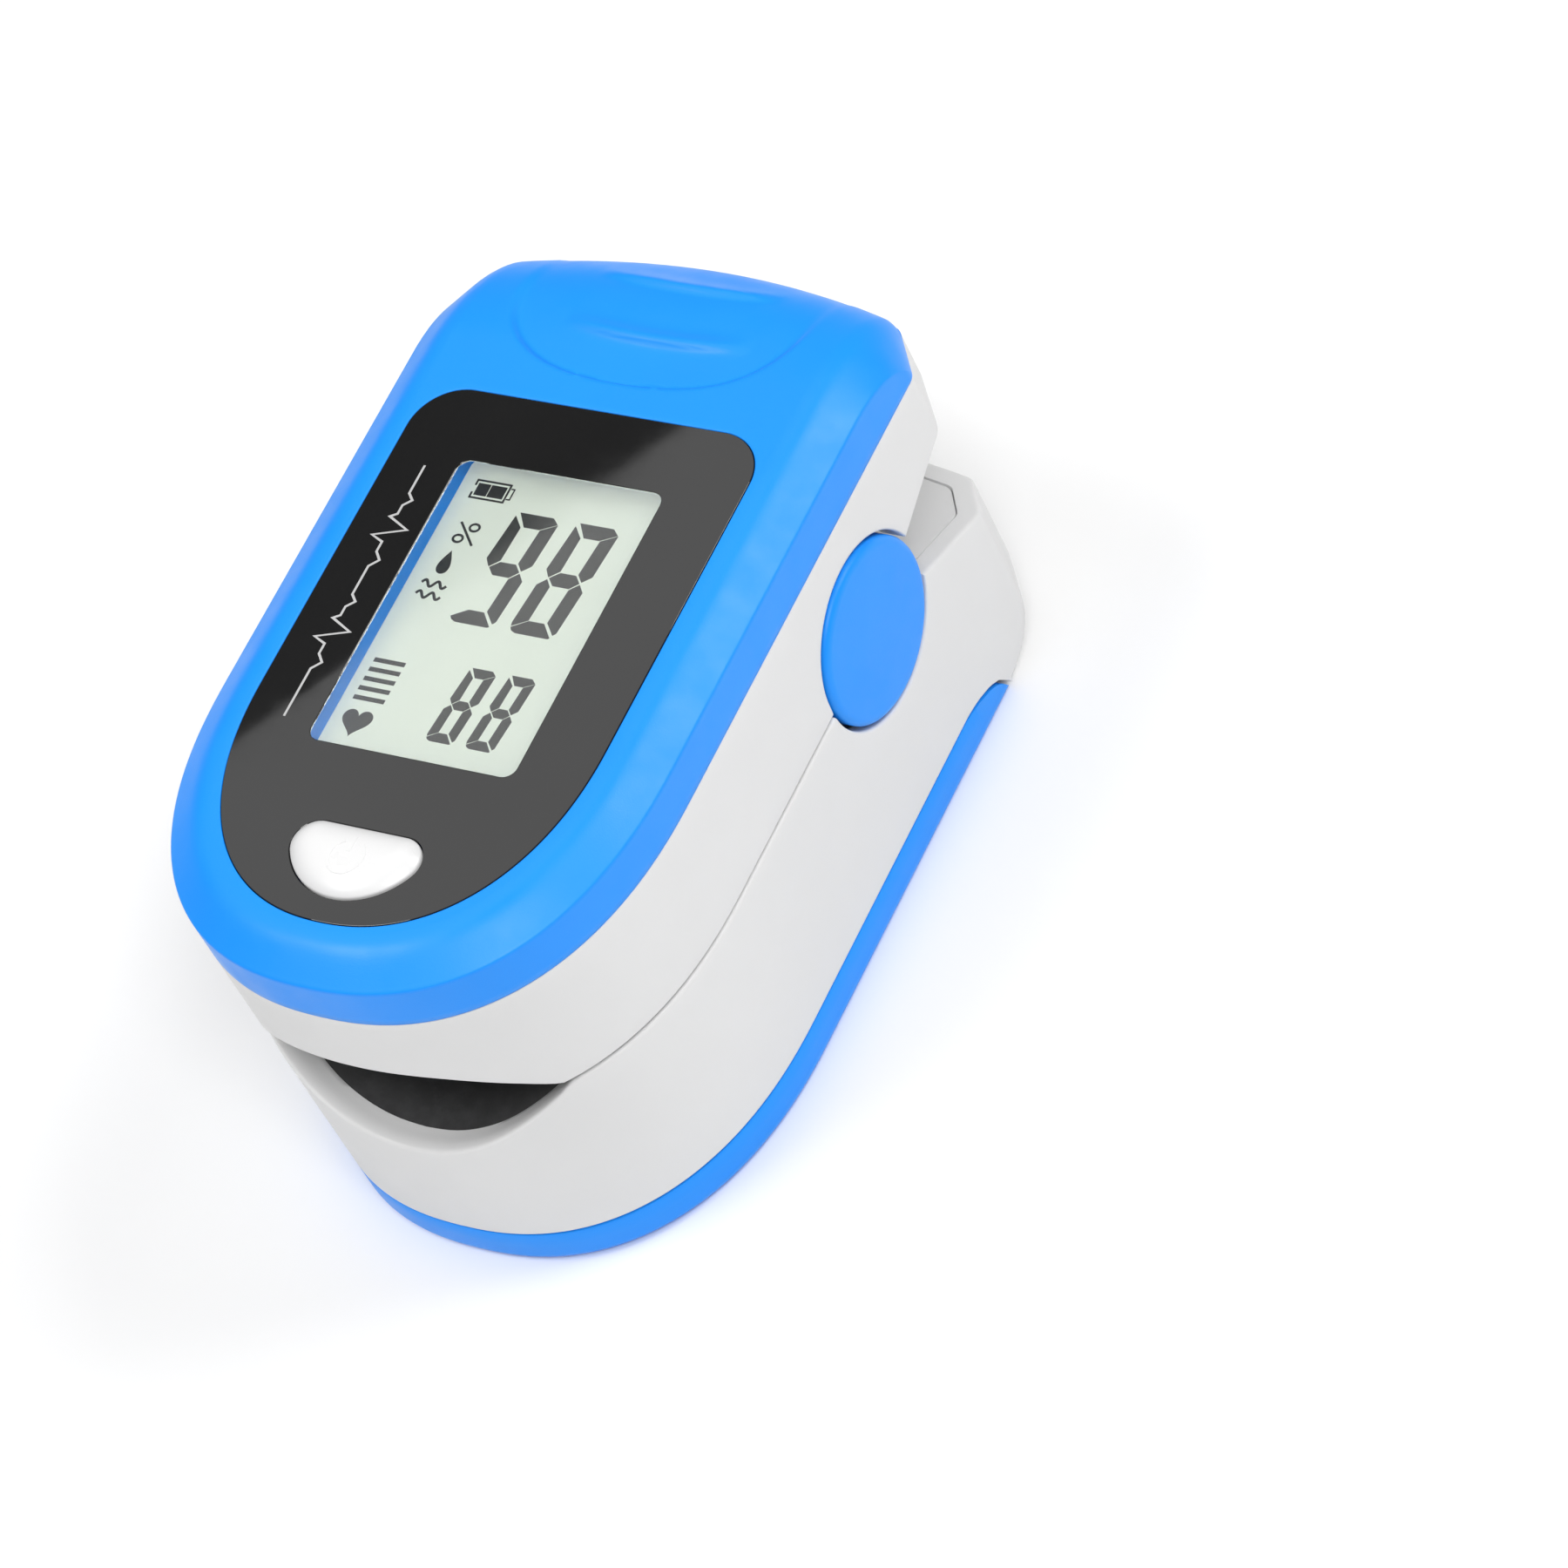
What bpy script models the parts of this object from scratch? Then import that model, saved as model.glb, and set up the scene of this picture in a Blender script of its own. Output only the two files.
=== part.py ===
"""Fingertip pulse oximeter: two sprung jaws around a finger channel, with a display, a push button,
two battery cells and a sliding battery door. Lengths below are in millimetres; the scene is in metres.
X is the width, the finger goes in from -Y, the pinch end is at +Y, and Z = 0 is the base."""

import math

import bmesh
import bpy
import numpy as np
from mathutils import Matrix, Vector

MM = 0.001
SLIVER = 0.004
AXES = {"x": Vector((1, 0, 0)), "y": Vector((0, 1, 0)), "z": Vector((0, 0, 1))}

# Plan outline
HALF_W = 17.0
SIDE_FRONT_Y = -9.35
FRONT_Y = -29.9
BACK_Y = 29.9
CHAMFER_A = (17.0, 24.6)
CHAMFER_B = (14.35, 28.1)
FRONT_POWER = 2.32
FRONT_STEPS = 22
BACK_STEPS = 6

# Heights
PARTING_LOW = 17.5
PARTING_HIGH = 17.8
COVER_EDGE = 27.8
CASE_TOP = 27.55
TOP = 32.9
BEVEL = 2.4
BAND_TOP = 31.3
BACK_RUN = 10.0
BACK_POWER = 1.8

# Hinge
PIVOT_Y = 11.2
PIVOT_Z = 18.16
CAP_R = 6.28
NOTCH_R = 6.6
KNUCKLE_R = 5.8
AXLE_R = 1.0
BORE_R = 1.05
UPPER_SLOPE = math.tan(math.radians(18.3))
LOWER_SLOPE = 0.36
UPPER_VEE_Z = 17.8
LOWER_VEE_Z = 18.32

# Walls
WALL = 2.0
FRAME_INSET = 2.15
PAD_INSET = 2.9
PAD_HALF = 10.4
PAD_SKIN = 0.3
PAD_BACK = 1.0
SEAT_FACE = 1.06
SEAT_BACK = 1.7
CHANNEL_END = 4.5

# Mouth of the finger channel: half profiles of (x, z)
LOWER_LIP = [(0, 12.6), (2.4, 12.9), (4.3, 13.4), (6.5, 14.2), (8.5, 15.3), (10.0, 16.15), (11.0, 16.8),
             (11.9, PARTING_LOW), (20, PARTING_LOW)]
UPPER_LIP = [(0, 22.05), (2.2, 22.02), (4.1, 21.96), (6.7, 21.27), (8.9, 20.13), (10.2, 19.15),
             (11.0, 18.33), (11.65, PARTING_HIGH), (20, PARTING_HIGH)]

# Battery door
DOOR_TOP = 3.2
DOOR_WALL = 0.95
DOOR_FLOOR = 0.75
DOOR_REAR = [(14.8, 3.2), (16.6, 2.9), (17.9, 2.5), (18.8, 2.0), (19.4, 1.4), (19.8, 0.7), (20.2, 0)]
DOOR_GAP = 0.25
TAIL_R = 4.4

# Battery cells
CELL_R = 5.15
CELL_X = 5.3
CELL_Z = 6.2
CELL_BODY = 43.5
CELL_FRONT = -23.6
NUB = 0.9
NUB_R = 1.9

# Display and button
PANEL_HALF = 13.1
PANEL_BACK = 14.6
PANEL_SIDE_FRONT = -10.0
PANEL_FRONT = -26.05
PANEL_POWER = 2.2
PANEL_CORNER = 3.5
PANEL_FLOOR = 32.05
WINDOW = (7.82, -13.43, 9.24, 0.9)
LCD_TOP = 31.42
BUTTON_Y = -19.0
BUTTON_R = 4.95
BUTTON_CORNER = 1.2
BUTTON_TOP = 33.65

SENSOR_Y = -8.0


# ---- mesh building -------------------------------------------------------------------------------


def add_mesh(name, points, faces):
    mesh = bpy.data.meshes.new(name)
    mesh.from_pydata([tuple(Vector(p) * MM) for p in points], [], faces)
    bm = bmesh.new()
    bm.from_mesh(mesh)
    bmesh.ops.recalc_face_normals(bm, faces=bm.faces)
    bm.to_mesh(mesh)
    bm.free()
    obj = bpy.data.objects.new(name, mesh)
    bpy.context.scene.collection.objects.link(obj)
    return obj


def loft(name, rings):
    """A closed body through rings of equal length, with a flat cap on the first and the last."""
    count = len(rings[0])
    points = [p for ring in rings for p in ring]
    faces = [tuple(range(count)), tuple(range((len(rings) - 1) * count, len(rings) * count))]
    for k in range(len(rings) - 1):
        for i in range(count):
            j = (i + 1) % count
            faces.append((k * count + i, k * count + j, (k + 1) * count + j, (k + 1) * count + i))
    return add_mesh(name, points, faces)


def extrude(name, polygon, along, low, high):
    """A flat polygon swept along one axis. Its two coordinates are the other two axes, in X, Y, Z order."""
    u, v = [AXES[a] for a in "xyz" if a != along]
    ends = [[u * p[0] + v * p[1] + AXES[along] * w for p in polygon] for w in (low, high)]
    return loft(name, ends)


def box(name, low, high):
    corners = [(low[0], low[1]), (high[0], low[1]), (high[0], high[1]), (low[0], high[1])]
    return extrude(name, corners, "z", low[2], high[2])


def circle(centre, radius, steps):
    turn = [2 * math.pi * (k + 0.5) / steps for k in range(steps)]
    return [(centre[0] + radius * math.cos(t), centre[1] + radius * math.sin(t)) for t in turn]


def rod(name, along, centre, radius, low, high, steps=32):
    return extrude(name, circle(centre, radius, steps), along, low, high)


def lathe(name, along, centre, profile, steps=28):
    """A body of revolution through (radius, height) pairs, with flat ends."""
    u, v = [AXES[a] for a in "xyz" if a != along]
    rings = [[u * a + v * b + AXES[along] * h for a, b in circle(centre, r, steps)] for r, h in profile]
    return loft(name, rings)


def egg(name, centre, radii, tilt=0.0, steps=24):
    """An ellipsoid, turned about X by tilt degrees."""
    turn = Matrix.Rotation(math.radians(tilt), 3, "X")
    points = [Vector((0, 0, -radii[2]))]
    rows = steps // 2
    for k in range(1, rows):
        a = -math.pi / 2 + math.pi * k / rows
        for i in range(steps):
            b = 2 * math.pi * i / steps
            points.append(Vector((radii[0] * math.cos(a) * math.cos(b), radii[1] * math.cos(a) * math.sin(b),
                                  radii[2] * math.sin(a))))
    points.append(Vector((0, 0, radii[2])))
    last = len(points) - 1
    faces = []
    for i in range(steps):
        j = (i + 1) % steps
        faces.append((0, 1 + j, 1 + i))
        faces.append((last, last - steps + i, last - steps + j))
        for k in range(rows - 2):
            a, b = 1 + k * steps, 1 + (k + 1) * steps
            faces.append((a + i, a + j, b + j, b + i))
    return add_mesh(name, [Vector(centre) + turn @ p for p in points], faces)


def wire(name, path, radius, sides=6):
    """A round wire along a path of points, with flat ends."""
    path = [Vector(p) for p in path]
    rings = []
    normal = None
    for k, point in enumerate(path):
        ahead = (path[min(k + 1, len(path) - 1)] - path[max(k - 1, 0)]).normalized()
        if normal is None:
            normal = ahead.orthogonal().normalized()
        normal = (normal - ahead * normal.dot(ahead)).normalized()
        side = ahead.cross(normal)
        turn = [2 * math.pi * i / sides for i in range(sides)]
        rings.append([point + normal * radius * math.cos(t) + side * radius * math.sin(t) for t in turn])
    return loft(name, rings)


def tidy_mesh(mesh):
    """Closes the hair-thin slivers that a Boolean can leave."""
    bm = bmesh.new()
    bm.from_mesh(mesh)
    bmesh.ops.remove_doubles(bm, verts=bm.verts, dist=SLIVER * MM)
    bmesh.ops.dissolve_degenerate(bm, edges=bm.edges, dist=SLIVER * MM)
    bm.to_mesh(mesh)
    bm.free()


def combine(obj, operation, others):
    """One Boolean after another, each baked into the mesh and its cutter removed."""
    for other in others:
        modifier = obj.modifiers.new(operation, "BOOLEAN")
        modifier.operation = operation
        modifier.object = other
        bpy.context.view_layer.update()
        baked = bpy.data.meshes.new_from_object(obj.evaluated_get(bpy.context.evaluated_depsgraph_get()))
        obj.modifiers.clear()
        tidy_mesh(baked)
        obj.data = baked
        bpy.data.objects.remove(other)
    return obj


def cut(obj, *others):
    return combine(obj, "DIFFERENCE", others)


def join(obj, *others):
    return combine(obj, "UNION", others)


def clip(obj, *others):
    return combine(obj, "INTERSECT", others)


# ---- plan outlines -------------------------------------------------------------------------------


def superellipse(half_w, start_y, end_y, power, steps):
    """The front half of an outline, from +X round the front to -X, without its two end points."""
    found = []
    for k in range(1, steps):
        t = math.pi * k / steps
        x = half_w * math.copysign(abs(math.cos(t)) ** (2 / power), math.cos(t))
        found.append((x, start_y + (end_y - start_y) * math.sin(t) ** (2 / power)))
    return found


def shrink(loop, inset):
    """The clockwise polygon moved inwards by inset, with mitred corners."""
    moved = []
    for k, point in enumerate(loop):
        before = (Vector(point) - Vector(loop[k - 1])).normalized()
        after = (Vector(loop[(k + 1) % len(loop)]) - Vector(point)).normalized()
        a, b = Vector((before.y, -before.x)), Vector((after.y, -after.x))
        moved.append(tuple(Vector(point) + (a + b) * inset / (1 + a.dot(b))))
    return moved


def body_outline(inset=0.0):
    bow = []
    for k in range(BACK_STEPS + 1):
        x = CHAMFER_B[0] * (2 * k / BACK_STEPS - 1)
        bow.append((x, CHAMFER_B[1] + (BACK_Y - CHAMFER_B[1]) * (1 - (x / CHAMFER_B[0]) ** 2)))
    front = superellipse(HALF_W, SIDE_FRONT_Y, FRONT_Y, FRONT_POWER, FRONT_STEPS)
    loop = [CHAMFER_A, (HALF_W, SIDE_FRONT_Y)] + front + [(-HALF_W, SIDE_FRONT_Y), (-CHAMFER_A[0], CHAMFER_A[1])]
    return shrink(loop + bow, inset)


def rounded_corner(corner, start, end, radius, steps):
    """Points of an arc of quarter turn at an upright corner, from the side of start to the side of end."""
    a = (Vector(start) - Vector(corner)).normalized() * radius
    b = (Vector(end) - Vector(corner)).normalized() * radius
    centre = Vector(corner) + a + b
    return [tuple(centre - b * math.cos(t) - a * math.sin(t)) for t in np.linspace(0, math.pi / 2, steps)]


def panel_outline(inset=0.0):
    w, back = PANEL_HALF, PANEL_BACK
    loop = rounded_corner((w, back), (w, 0), (0, back), PANEL_CORNER, 6)[::-1]
    loop.append((w, PANEL_SIDE_FRONT))
    loop += superellipse(w, PANEL_SIDE_FRONT, PANEL_FRONT, PANEL_POWER, 18)
    loop.append((-w, PANEL_SIDE_FRONT))
    loop += rounded_corner((-w, back), (0, back), (-w, 0), PANEL_CORNER, 6)[::-1]
    return shrink(loop, inset)


def window_outline(inset=0.0):
    w, front, back, r = WINDOW
    corners = [(w, back), (w, front), (-w, front), (-w, back)]
    loop = []
    for k, corner in enumerate(corners):
        loop += rounded_corner(corner, corners[(k + 1) % 4], corners[k - 1], r, 4)[::-1]
    return shrink(loop, inset)


def button_outline(inset=0.0):
    """A half disc with rounded corners, flat side towards the back."""
    r, c = BUTTON_R, BUTTON_CORNER
    reach = math.sqrt((r - c) ** 2 - c ** 2)
    lean = math.atan2(c, reach)
    loop = [(reach + c * math.sin(t), BUTTON_Y - c + c * math.cos(t))
            for t in np.linspace(0, math.pi / 2 + lean, 6)]
    loop += [(r * math.cos(t), BUTTON_Y - r * math.sin(t)) for t in np.linspace(lean, math.pi - lean, 14)[1:-1]]
    loop += [(-x, y) for x, y in loop[5::-1]]
    return shrink(loop, inset)


def at(loop, z):
    return [(x, y, z) for x, y in loop]


def lip(profile, x):
    return float(np.interp(abs(x), [p[0] for p in profile], [p[1] for p in profile]))


# ---- shaped blanks -------------------------------------------------------------------------------


def back_curve(drop=0.0):
    """(inward distance, height) along the fall of the cover towards the pinch end."""
    found = []
    for s in np.linspace(0, BACK_RUN, 15) ** 1.4 / BACK_RUN ** 0.4:
        rise = (1 - (1 - s / BACK_RUN) ** BACK_POWER) ** (1 / BACK_POWER)
        found.append((s + drop, COVER_EDGE - drop + (TOP - COVER_EDGE) * rise))
    return found


def tail_curve():
    """(inward distance, height) along the round lower edge of the pinch end."""
    turn = np.linspace(0, math.pi / 2, 8)
    return [(TAIL_R * (1 - math.sin(t)), TAIL_R * (1 - math.cos(t))) for t in turn]


def edge_cutters(curve, far_z):
    """Bodies that trim an edge to a curve along the two chamfers and the bowed back."""
    outline = body_outline()
    first = FRONT_STEPS + 2
    found = []
    ends = outline[first:] + [outline[0]]
    for a, b in zip(ends, ends[1:]):
        a, b = Vector(a).to_3d(), Vector(b).to_3d()
        along = (b - a).normalized()
        inward = Vector((along.y, -along.x, 0))
        outside = [(-3.0, far_z), (-3.0, curve[0][1])] + list(curve) + [(curve[-1][0], far_z)]
        if curve[0][0] > curve[-1][0]:
            outside = [(curve[0][0], far_z)] + list(curve) + [(-3.0, curve[-1][1]), (-3.0, far_z)]
        reach = BACK_RUN if far_z > 0 else TAIL_R
        rings = []
        for end, way in ((a, -1), (b, 1)):
            rings.append([end + inward * s + along * way * reach + Vector((0, 0, z)) for s, z in outside])
        found.append(loft("edge_cutter", rings))
    return found


def cover_blank(name, inset, top, drop):
    """The top cover's outer body, or with a drop the hollow inside it."""
    steps = [(0, BAND_TOP - COVER_EDGE), (0.5, 3.95), (1.1, 4.5), (1.8, 4.95), (BEVEL, TOP - COVER_EDGE)]
    rings = [at(body_outline(inset), COVER_EDGE - drop)]
    rings += [at(body_outline(inset + d), min(COVER_EDGE + h, top)) for d, h in (steps if not drop else steps[:1])]
    if drop:
        rings[-1] = at(body_outline(inset), top)
    blank = loft(name, rings)
    return cut(blank, *edge_cutters(back_curve(drop), TOP + 5))


def base_blank(name, top):
    """The lower half's outer body, with its small bottom edge and round tail."""
    rings = [at(body_outline(d), z) for d, z in ((0.9, 0.0), (0.3, 0.25), (0.0, 0.9), (0.0, top))]
    return cut(loft(name, rings), *edge_cutters(tail_curve(), -5))


def slab_above():
    """A wide block on the lower jaw's upper faces: level in front of the hinge, falling behind it."""
    kink = PIVOT_Y + (LOWER_VEE_Z - PARTING_LOW) / LOWER_SLOPE
    end = 40.0
    points = [(-40, PARTING_LOW), (kink, PARTING_LOW), (end, LOWER_VEE_Z - LOWER_SLOPE * (end - PIVOT_Y)),
              (end, 60), (-40, 60)]
    return extrude("slab", points, "x", -30, 30)


def slab_below():
    """A wide block under the upper jaw's lower faces."""
    end = 40.0
    points = [(-40, PARTING_HIGH), (PIVOT_Y, UPPER_VEE_Z), (end, UPPER_VEE_Z + UPPER_SLOPE * (end - PIVOT_Y)),
              (end, -30), (-40, -30)]
    return extrude("slab", points, "x", -30, 30)


def mouth_cutter():
    xs = [p[0] for p in LOWER_LIP[:-1]]
    low = [(x, lip(LOWER_LIP, x)) for x in [-x for x in xs[:0:-1]] + xs]
    xs = [p[0] for p in UPPER_LIP[:-1]]
    high = [(x, lip(UPPER_LIP, x)) for x in [-x for x in xs[:0:-1]] + xs]
    return extrude("mouth", low + high[::-1], "y", -40, 0)


def sheet(name, profile, near, far, half, y0, y1):
    """A bent sheet between two offsets from a lip profile."""
    xs = sorted({s * p[0] for p in profile for s in (-1, 1) if p[0] < half} | {-half, half})
    points = [(x, lip(profile, x) + near) for x in xs] + [(x, lip(profile, x) + far) for x in xs[::-1]]
    return extrude(name, points, "y", y0, y1)


# ---- lower jaw -----------------------------------------------------------------------------------


def make_lower_case():
    case = base_blank("lower_case", PARTING_LOW + 2)
    cut(case, slab_above())
    grow = DOOR_WALL + 0.1
    door_side = [(-40, -5), (20.2 + DOOR_GAP, -5)]
    door_side += [(y + DOOR_GAP, z + DOOR_GAP) for y, z in DOOR_REAR[::-1]] + [(-40, DOOR_TOP + DOOR_GAP)]
    door_space = extrude("door_space", door_side, "x", -30, 30)
    cut(door_space, extrude("skirt", body_outline(grow), "z", DOOR_FLOOR + DOOR_GAP, 10))
    cut(case, door_space)
    bay = extrude("bay", body_outline(WALL), "z", -3, 30)
    cut(case, clip(bay, box("bay_front", (-30, -40, -3), (30, 20.3, 30))))
    bay_end = extrude("bay_end", body_outline(WALL), "z", 0.9, 30)
    cut(case, clip(bay_end, box("bay_back", (-30, 20.0, 0), (30, 22.4, 30))))
    rear = extrude("rear", body_outline(WALL), "z", 3.2, 30)
    cut(case, clip(rear, box("rear_room", (-30, 23.4, 0), (30, 40, 30))))
    cut(case, box("partition_top", (-15, 22.0, 12.5), (15, 24, 30)))
    cut(case, mouth_cutter())
    for side in (-1, 1):
        low, high = sorted((side * 13.3, side * 15.45))
        join(case, rod("knuckle", "x", (PIVOT_Y, PIVOT_Z), CAP_R, low, high, 40))
        low, high = sorted((side * 15.45, side * 18.0))
        cut(case, rod("notch", "x", (PIVOT_Y, PIVOT_Z), NOTCH_R, low, high, 40))
        low, high = sorted((side * 12.0, side * 15.2))
        cut(case, rod("bore", "x", (PIVOT_Y, PIVOT_Z), BORE_R, low, high, 20))
        join(case, rod("boss", "z", (side * 13.4, -8.0), 2.0, 4.6, 11.2, 20))
        cut(case, rod("boss_hole", "z", (side * 13.4, -8.0), 0.8, 2, 14, 16))
    slot = [(x, z + 9.4) for x, z in capsule(2.3, 1.15)]
    return cut(case, extrude("lanyard_slot", slot, "y", 24, 34))


def capsule(half_w, radius):
    turn = np.linspace(-math.pi / 2, math.pi / 2, 7)
    right = [(half_w - radius + radius * math.cos(t), radius * math.sin(t)) for t in turn]
    return right + [(-x, -z) for x, z in right]


def frame_bar(name, profile, way):
    """The sides and pad seat of a frame: a strip along each parting edge and a thinner seat between."""
    inner, outer = PAD_HALF + 0.3, 11.9
    edge = lip(profile, outer)
    shelf = edge - way * 0.65
    seat_end = lip(profile, inner)
    tops = [(x, lip(profile, x) - way * SEAT_FACE) for x, _ in profile if x < inner]
    tops += [(inner, seat_end - way * SEAT_FACE), (inner, seat_end), (outer, edge), (20, edge)]
    lows = [(x, lip(profile, x) - way * SEAT_BACK) for x, _ in profile if x < inner]
    lows += [(inner, seat_end - way * SEAT_BACK), (outer, shelf), (20, shelf)]
    loop = tops + lows[::-1] + [(-x, z) for x, z in lows[1:]] + [(-x, z) for x, z in tops[:0:-1]]
    return extrude(name, loop, "y", -40, CHANNEL_END)


def make_lower_frame():
    frame = frame_bar("lower_frame", LOWER_LIP, 1)
    clip(frame, extrude("inside", body_outline(FRAME_INSET), "z", 0, 30))
    join(frame, box("stop", (-9.9, CHANNEL_END - 1, 12.0), (9.9, CHANNEL_END, 17.2)))
    join(frame, box("floor", (-9.9, CHANNEL_END - 0.5, 11.9), (9.9, 18.8, 12.6)))
    tray = extrude("tray", body_outline(FRAME_INSET), "z", 5, 30)
    lead = [(20, 18.9), (10.3, 18.9), (10.3, 17.7), (-10.3, 17.7), (-10.3, 18.9), (-20, 18.9), (-20, 40), (20, 40)]
    clip(tray, extrude("tray_front", lead, "z", 0, 40))
    band = [(10, LOWER_VEE_Z + LOWER_SLOPE * 1.2), (40, LOWER_VEE_Z - LOWER_SLOPE * 28.8),
            (40, LOWER_VEE_Z - LOWER_SLOPE * 28.8 - 1.3), (10, LOWER_VEE_Z + LOWER_SLOPE * 1.2 - 1.3)]
    clip(tray, extrude("tray_band", band, "x", -20, 20))
    join(frame, tray, box("riser", (-9.9, 17.75, 12.0), (9.9, 18.8, 15.2)))
    for side in (-1, 1):
        join(frame, rod("post", "z", (side * 13.0, -8.0), 1.6, 11.4, 17.2, 20))
        cut(frame, rod("post_hole", "z", (side * 13.4, -8.0), 0.8, 8, 15.4, 16))
    recess = [(3.3 * math.cos(t), 28.5 - 5.5 * math.sin(t)) for t in np.linspace(0, math.pi, 15)]
    cut(frame, extrude("recess", recess, "z", 5, 30))
    return cut(frame, box("sensor_hole", (-2.3, SENSOR_Y - 2.3, 8), (2.3, SENSOR_Y + 2.3, 16)))


def make_lower_pad():
    pad = sheet("lower_pad", LOWER_LIP, -PAD_SKIN, -PAD_BACK, PAD_HALF, -40, 3.35)
    clip(pad, extrude("inside", body_outline(PAD_INSET), "z", 0, 30))
    stop = [(x, lip(LOWER_LIP, x) - 0.6) for x in np.linspace(-9.6, 9.6, 13)]
    stop += [(9.3, 16.9), (-9.3, 16.9)]
    join(pad, extrude("stop", stop, "y", 2.5, 3.3))
    return cut(pad, box("sensor_hole", (-2.9, SENSOR_Y - 2.9, 8), (2.9, SENSOR_Y + 2.9, 16)))


def make_sensor():
    y = SENSOR_Y
    box("sensor_window", (-2.15, y - 2.15, 11.55), (2.15, y + 2.15, 12.25))
    box("photodiode", (-1.3, y - 1.3, 10.75), (1.3, y + 1.3, 11.4))
    box("sensor_board", (-1.5, y - 4.5, 10.15), (1.5, y + 4.5, 10.65))


def make_cells():
    """Two cells, head to tail, with their contacts."""
    front, back = CELL_FRONT - NUB, CELL_FRONT + CELL_BODY
    edge = 0.35
    for side, word in ((-1, "left"), (1, "right")):
        body = [(CELL_R - edge, 0), (CELL_R, edge), (CELL_R, CELL_BODY - edge), (CELL_R - edge, CELL_BODY)]
        nub = [(NUB_R, 0), (NUB_R, NUB)]
        start = CELL_FRONT
        if side < 0:
            profile = [(r, start + h - NUB) for r, h in nub] + [(r, start + h) for r, h in body]
        else:
            start = CELL_FRONT + 0.8
            profile = [(r, start + h) for r, h in body] + [(r, start + CELL_BODY + h) for r, h in nub]
        lathe("battery_" + word, "y", (side * CELL_X, CELL_Z), profile, 32)
    rear = CELL_FRONT + 0.8 + CELL_BODY + NUB + 0.1
    coil("contact_spring_left", -CELL_X, back + 0.1, rear - 0.1)
    coil("contact_spring_right", CELL_X, front - 0.05, CELL_FRONT + 0.7)
    box("contact_plate_rear", (-9.4, rear, 3.0), (9.4, rear + 0.3, 9.6))
    for side, word in ((-1, "left"), (1, "right")):
        low, high = sorted((side * 2.0, side * 8.4))
        box("contact_tab_" + word, (low, front - 0.45, 3.0), (high, front - 0.15, 9.6))


def coil(name, x, y0, y1):
    """A battery spring: a short cone of wire along Y."""
    wire_r, turns, steps = 0.25, 2.5, 12
    path = []
    for k in range(int(turns * steps) + 1):
        share = k / (turns * steps)
        radius = 3.4 - 1.6 * share
        turn = 2 * math.pi * share * turns
        path.append((x + radius * math.cos(turn), y0 + wire_r + (y1 - y0 - 2 * wire_r) * share,
                     CELL_Z + radius * math.sin(turn)))
    return wire(name, path, wire_r, 6)


def make_hinge():
    rod("hinge_axle", "x", (PIVOT_Y, PIVOT_Z), AXLE_R, -15.1, 15.1, 20)
    radius, wire_r, turns, steps = 2.1, 0.38, 7, 14
    path = [(-4.2, PIVOT_Y + 5.6, PIVOT_Z - radius)]
    for k in range(turns * steps + 1):
        turn = -math.pi / 2 - 2 * math.pi * k / steps
        share = k / (turns * steps)
        path.append((-4.2 + 7.2 * share, PIVOT_Y + radius * math.cos(turn), PIVOT_Z + radius * math.sin(turn)))
    for k in range(1, steps // 2 + 1):
        turn = -math.pi / 2 - 2 * math.pi * k / steps
        path.append((3.0 + 0.5 * k / steps, PIVOT_Y + radius * math.cos(turn), PIVOT_Z + radius * math.sin(turn)))
    path.append((3.3, PIVOT_Y + 5.6, PIVOT_Z + radius))
    wire("torsion_spring", path, wire_r, 6)
    for side, word in ((-1, "left"), (1, "right")):
        profile = [(CAP_R - 0.6, 17.4), (CAP_R - 0.18, 17.22), (CAP_R, 16.8), (CAP_R, 15.6)]
        lathe("pivot_cap_" + word, "x", (PIVOT_Y, PIVOT_Z), [(r, side * h) for r, h in profile], 48)


def screw(name, x, y, head, end):
    """A small screw from its head's outer face to its tip, along Z."""
    way = 1 if end > head else -1
    profile = [(1.0, head), (1.45, head + way * 0.3), (1.45, head + way * 0.8), (0.75, head + way * 0.8),
               (0.75, end - way * 0.5), (0.35, end)]
    body = lathe(name, "z", (x, y), profile, 20)
    for angle in (0, math.pi / 2):
        blade = box("drive", (-0.75, -0.14, -0.3), (0.75, 0.14, 0.3))
        blade.data.transform(Matrix.Rotation(angle + 0.4, 4, "Z"))
        blade.data.transform(Matrix.Translation(Vector((x, y, head)) * MM))
        cut(body, blade)
    return body


# ---- upper jaw -----------------------------------------------------------------------------------


def make_upper_case():
    case = extrude("upper_case", body_outline(), "z", 12, CASE_TOP)
    cut(case, extrude("hollow", body_outline(WALL), "z", 0, 40), slab_below(), mouth_cutter())
    ledge = extrude("ledge", body_outline(WALL - 0.2), "z", 26.1, 27.0)
    cut(ledge, extrude("ledge_hole", body_outline(WALL + 1.3), "z", 20, 30))
    join(case, ledge)
    for side in (-1, 1):
        low, high = sorted((side * 14.0, side * 18.0))
        cut(case, rod("notch", "x", (PIVOT_Y, PIVOT_Z), NOTCH_R, low, high, 40))
    return case


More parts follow.
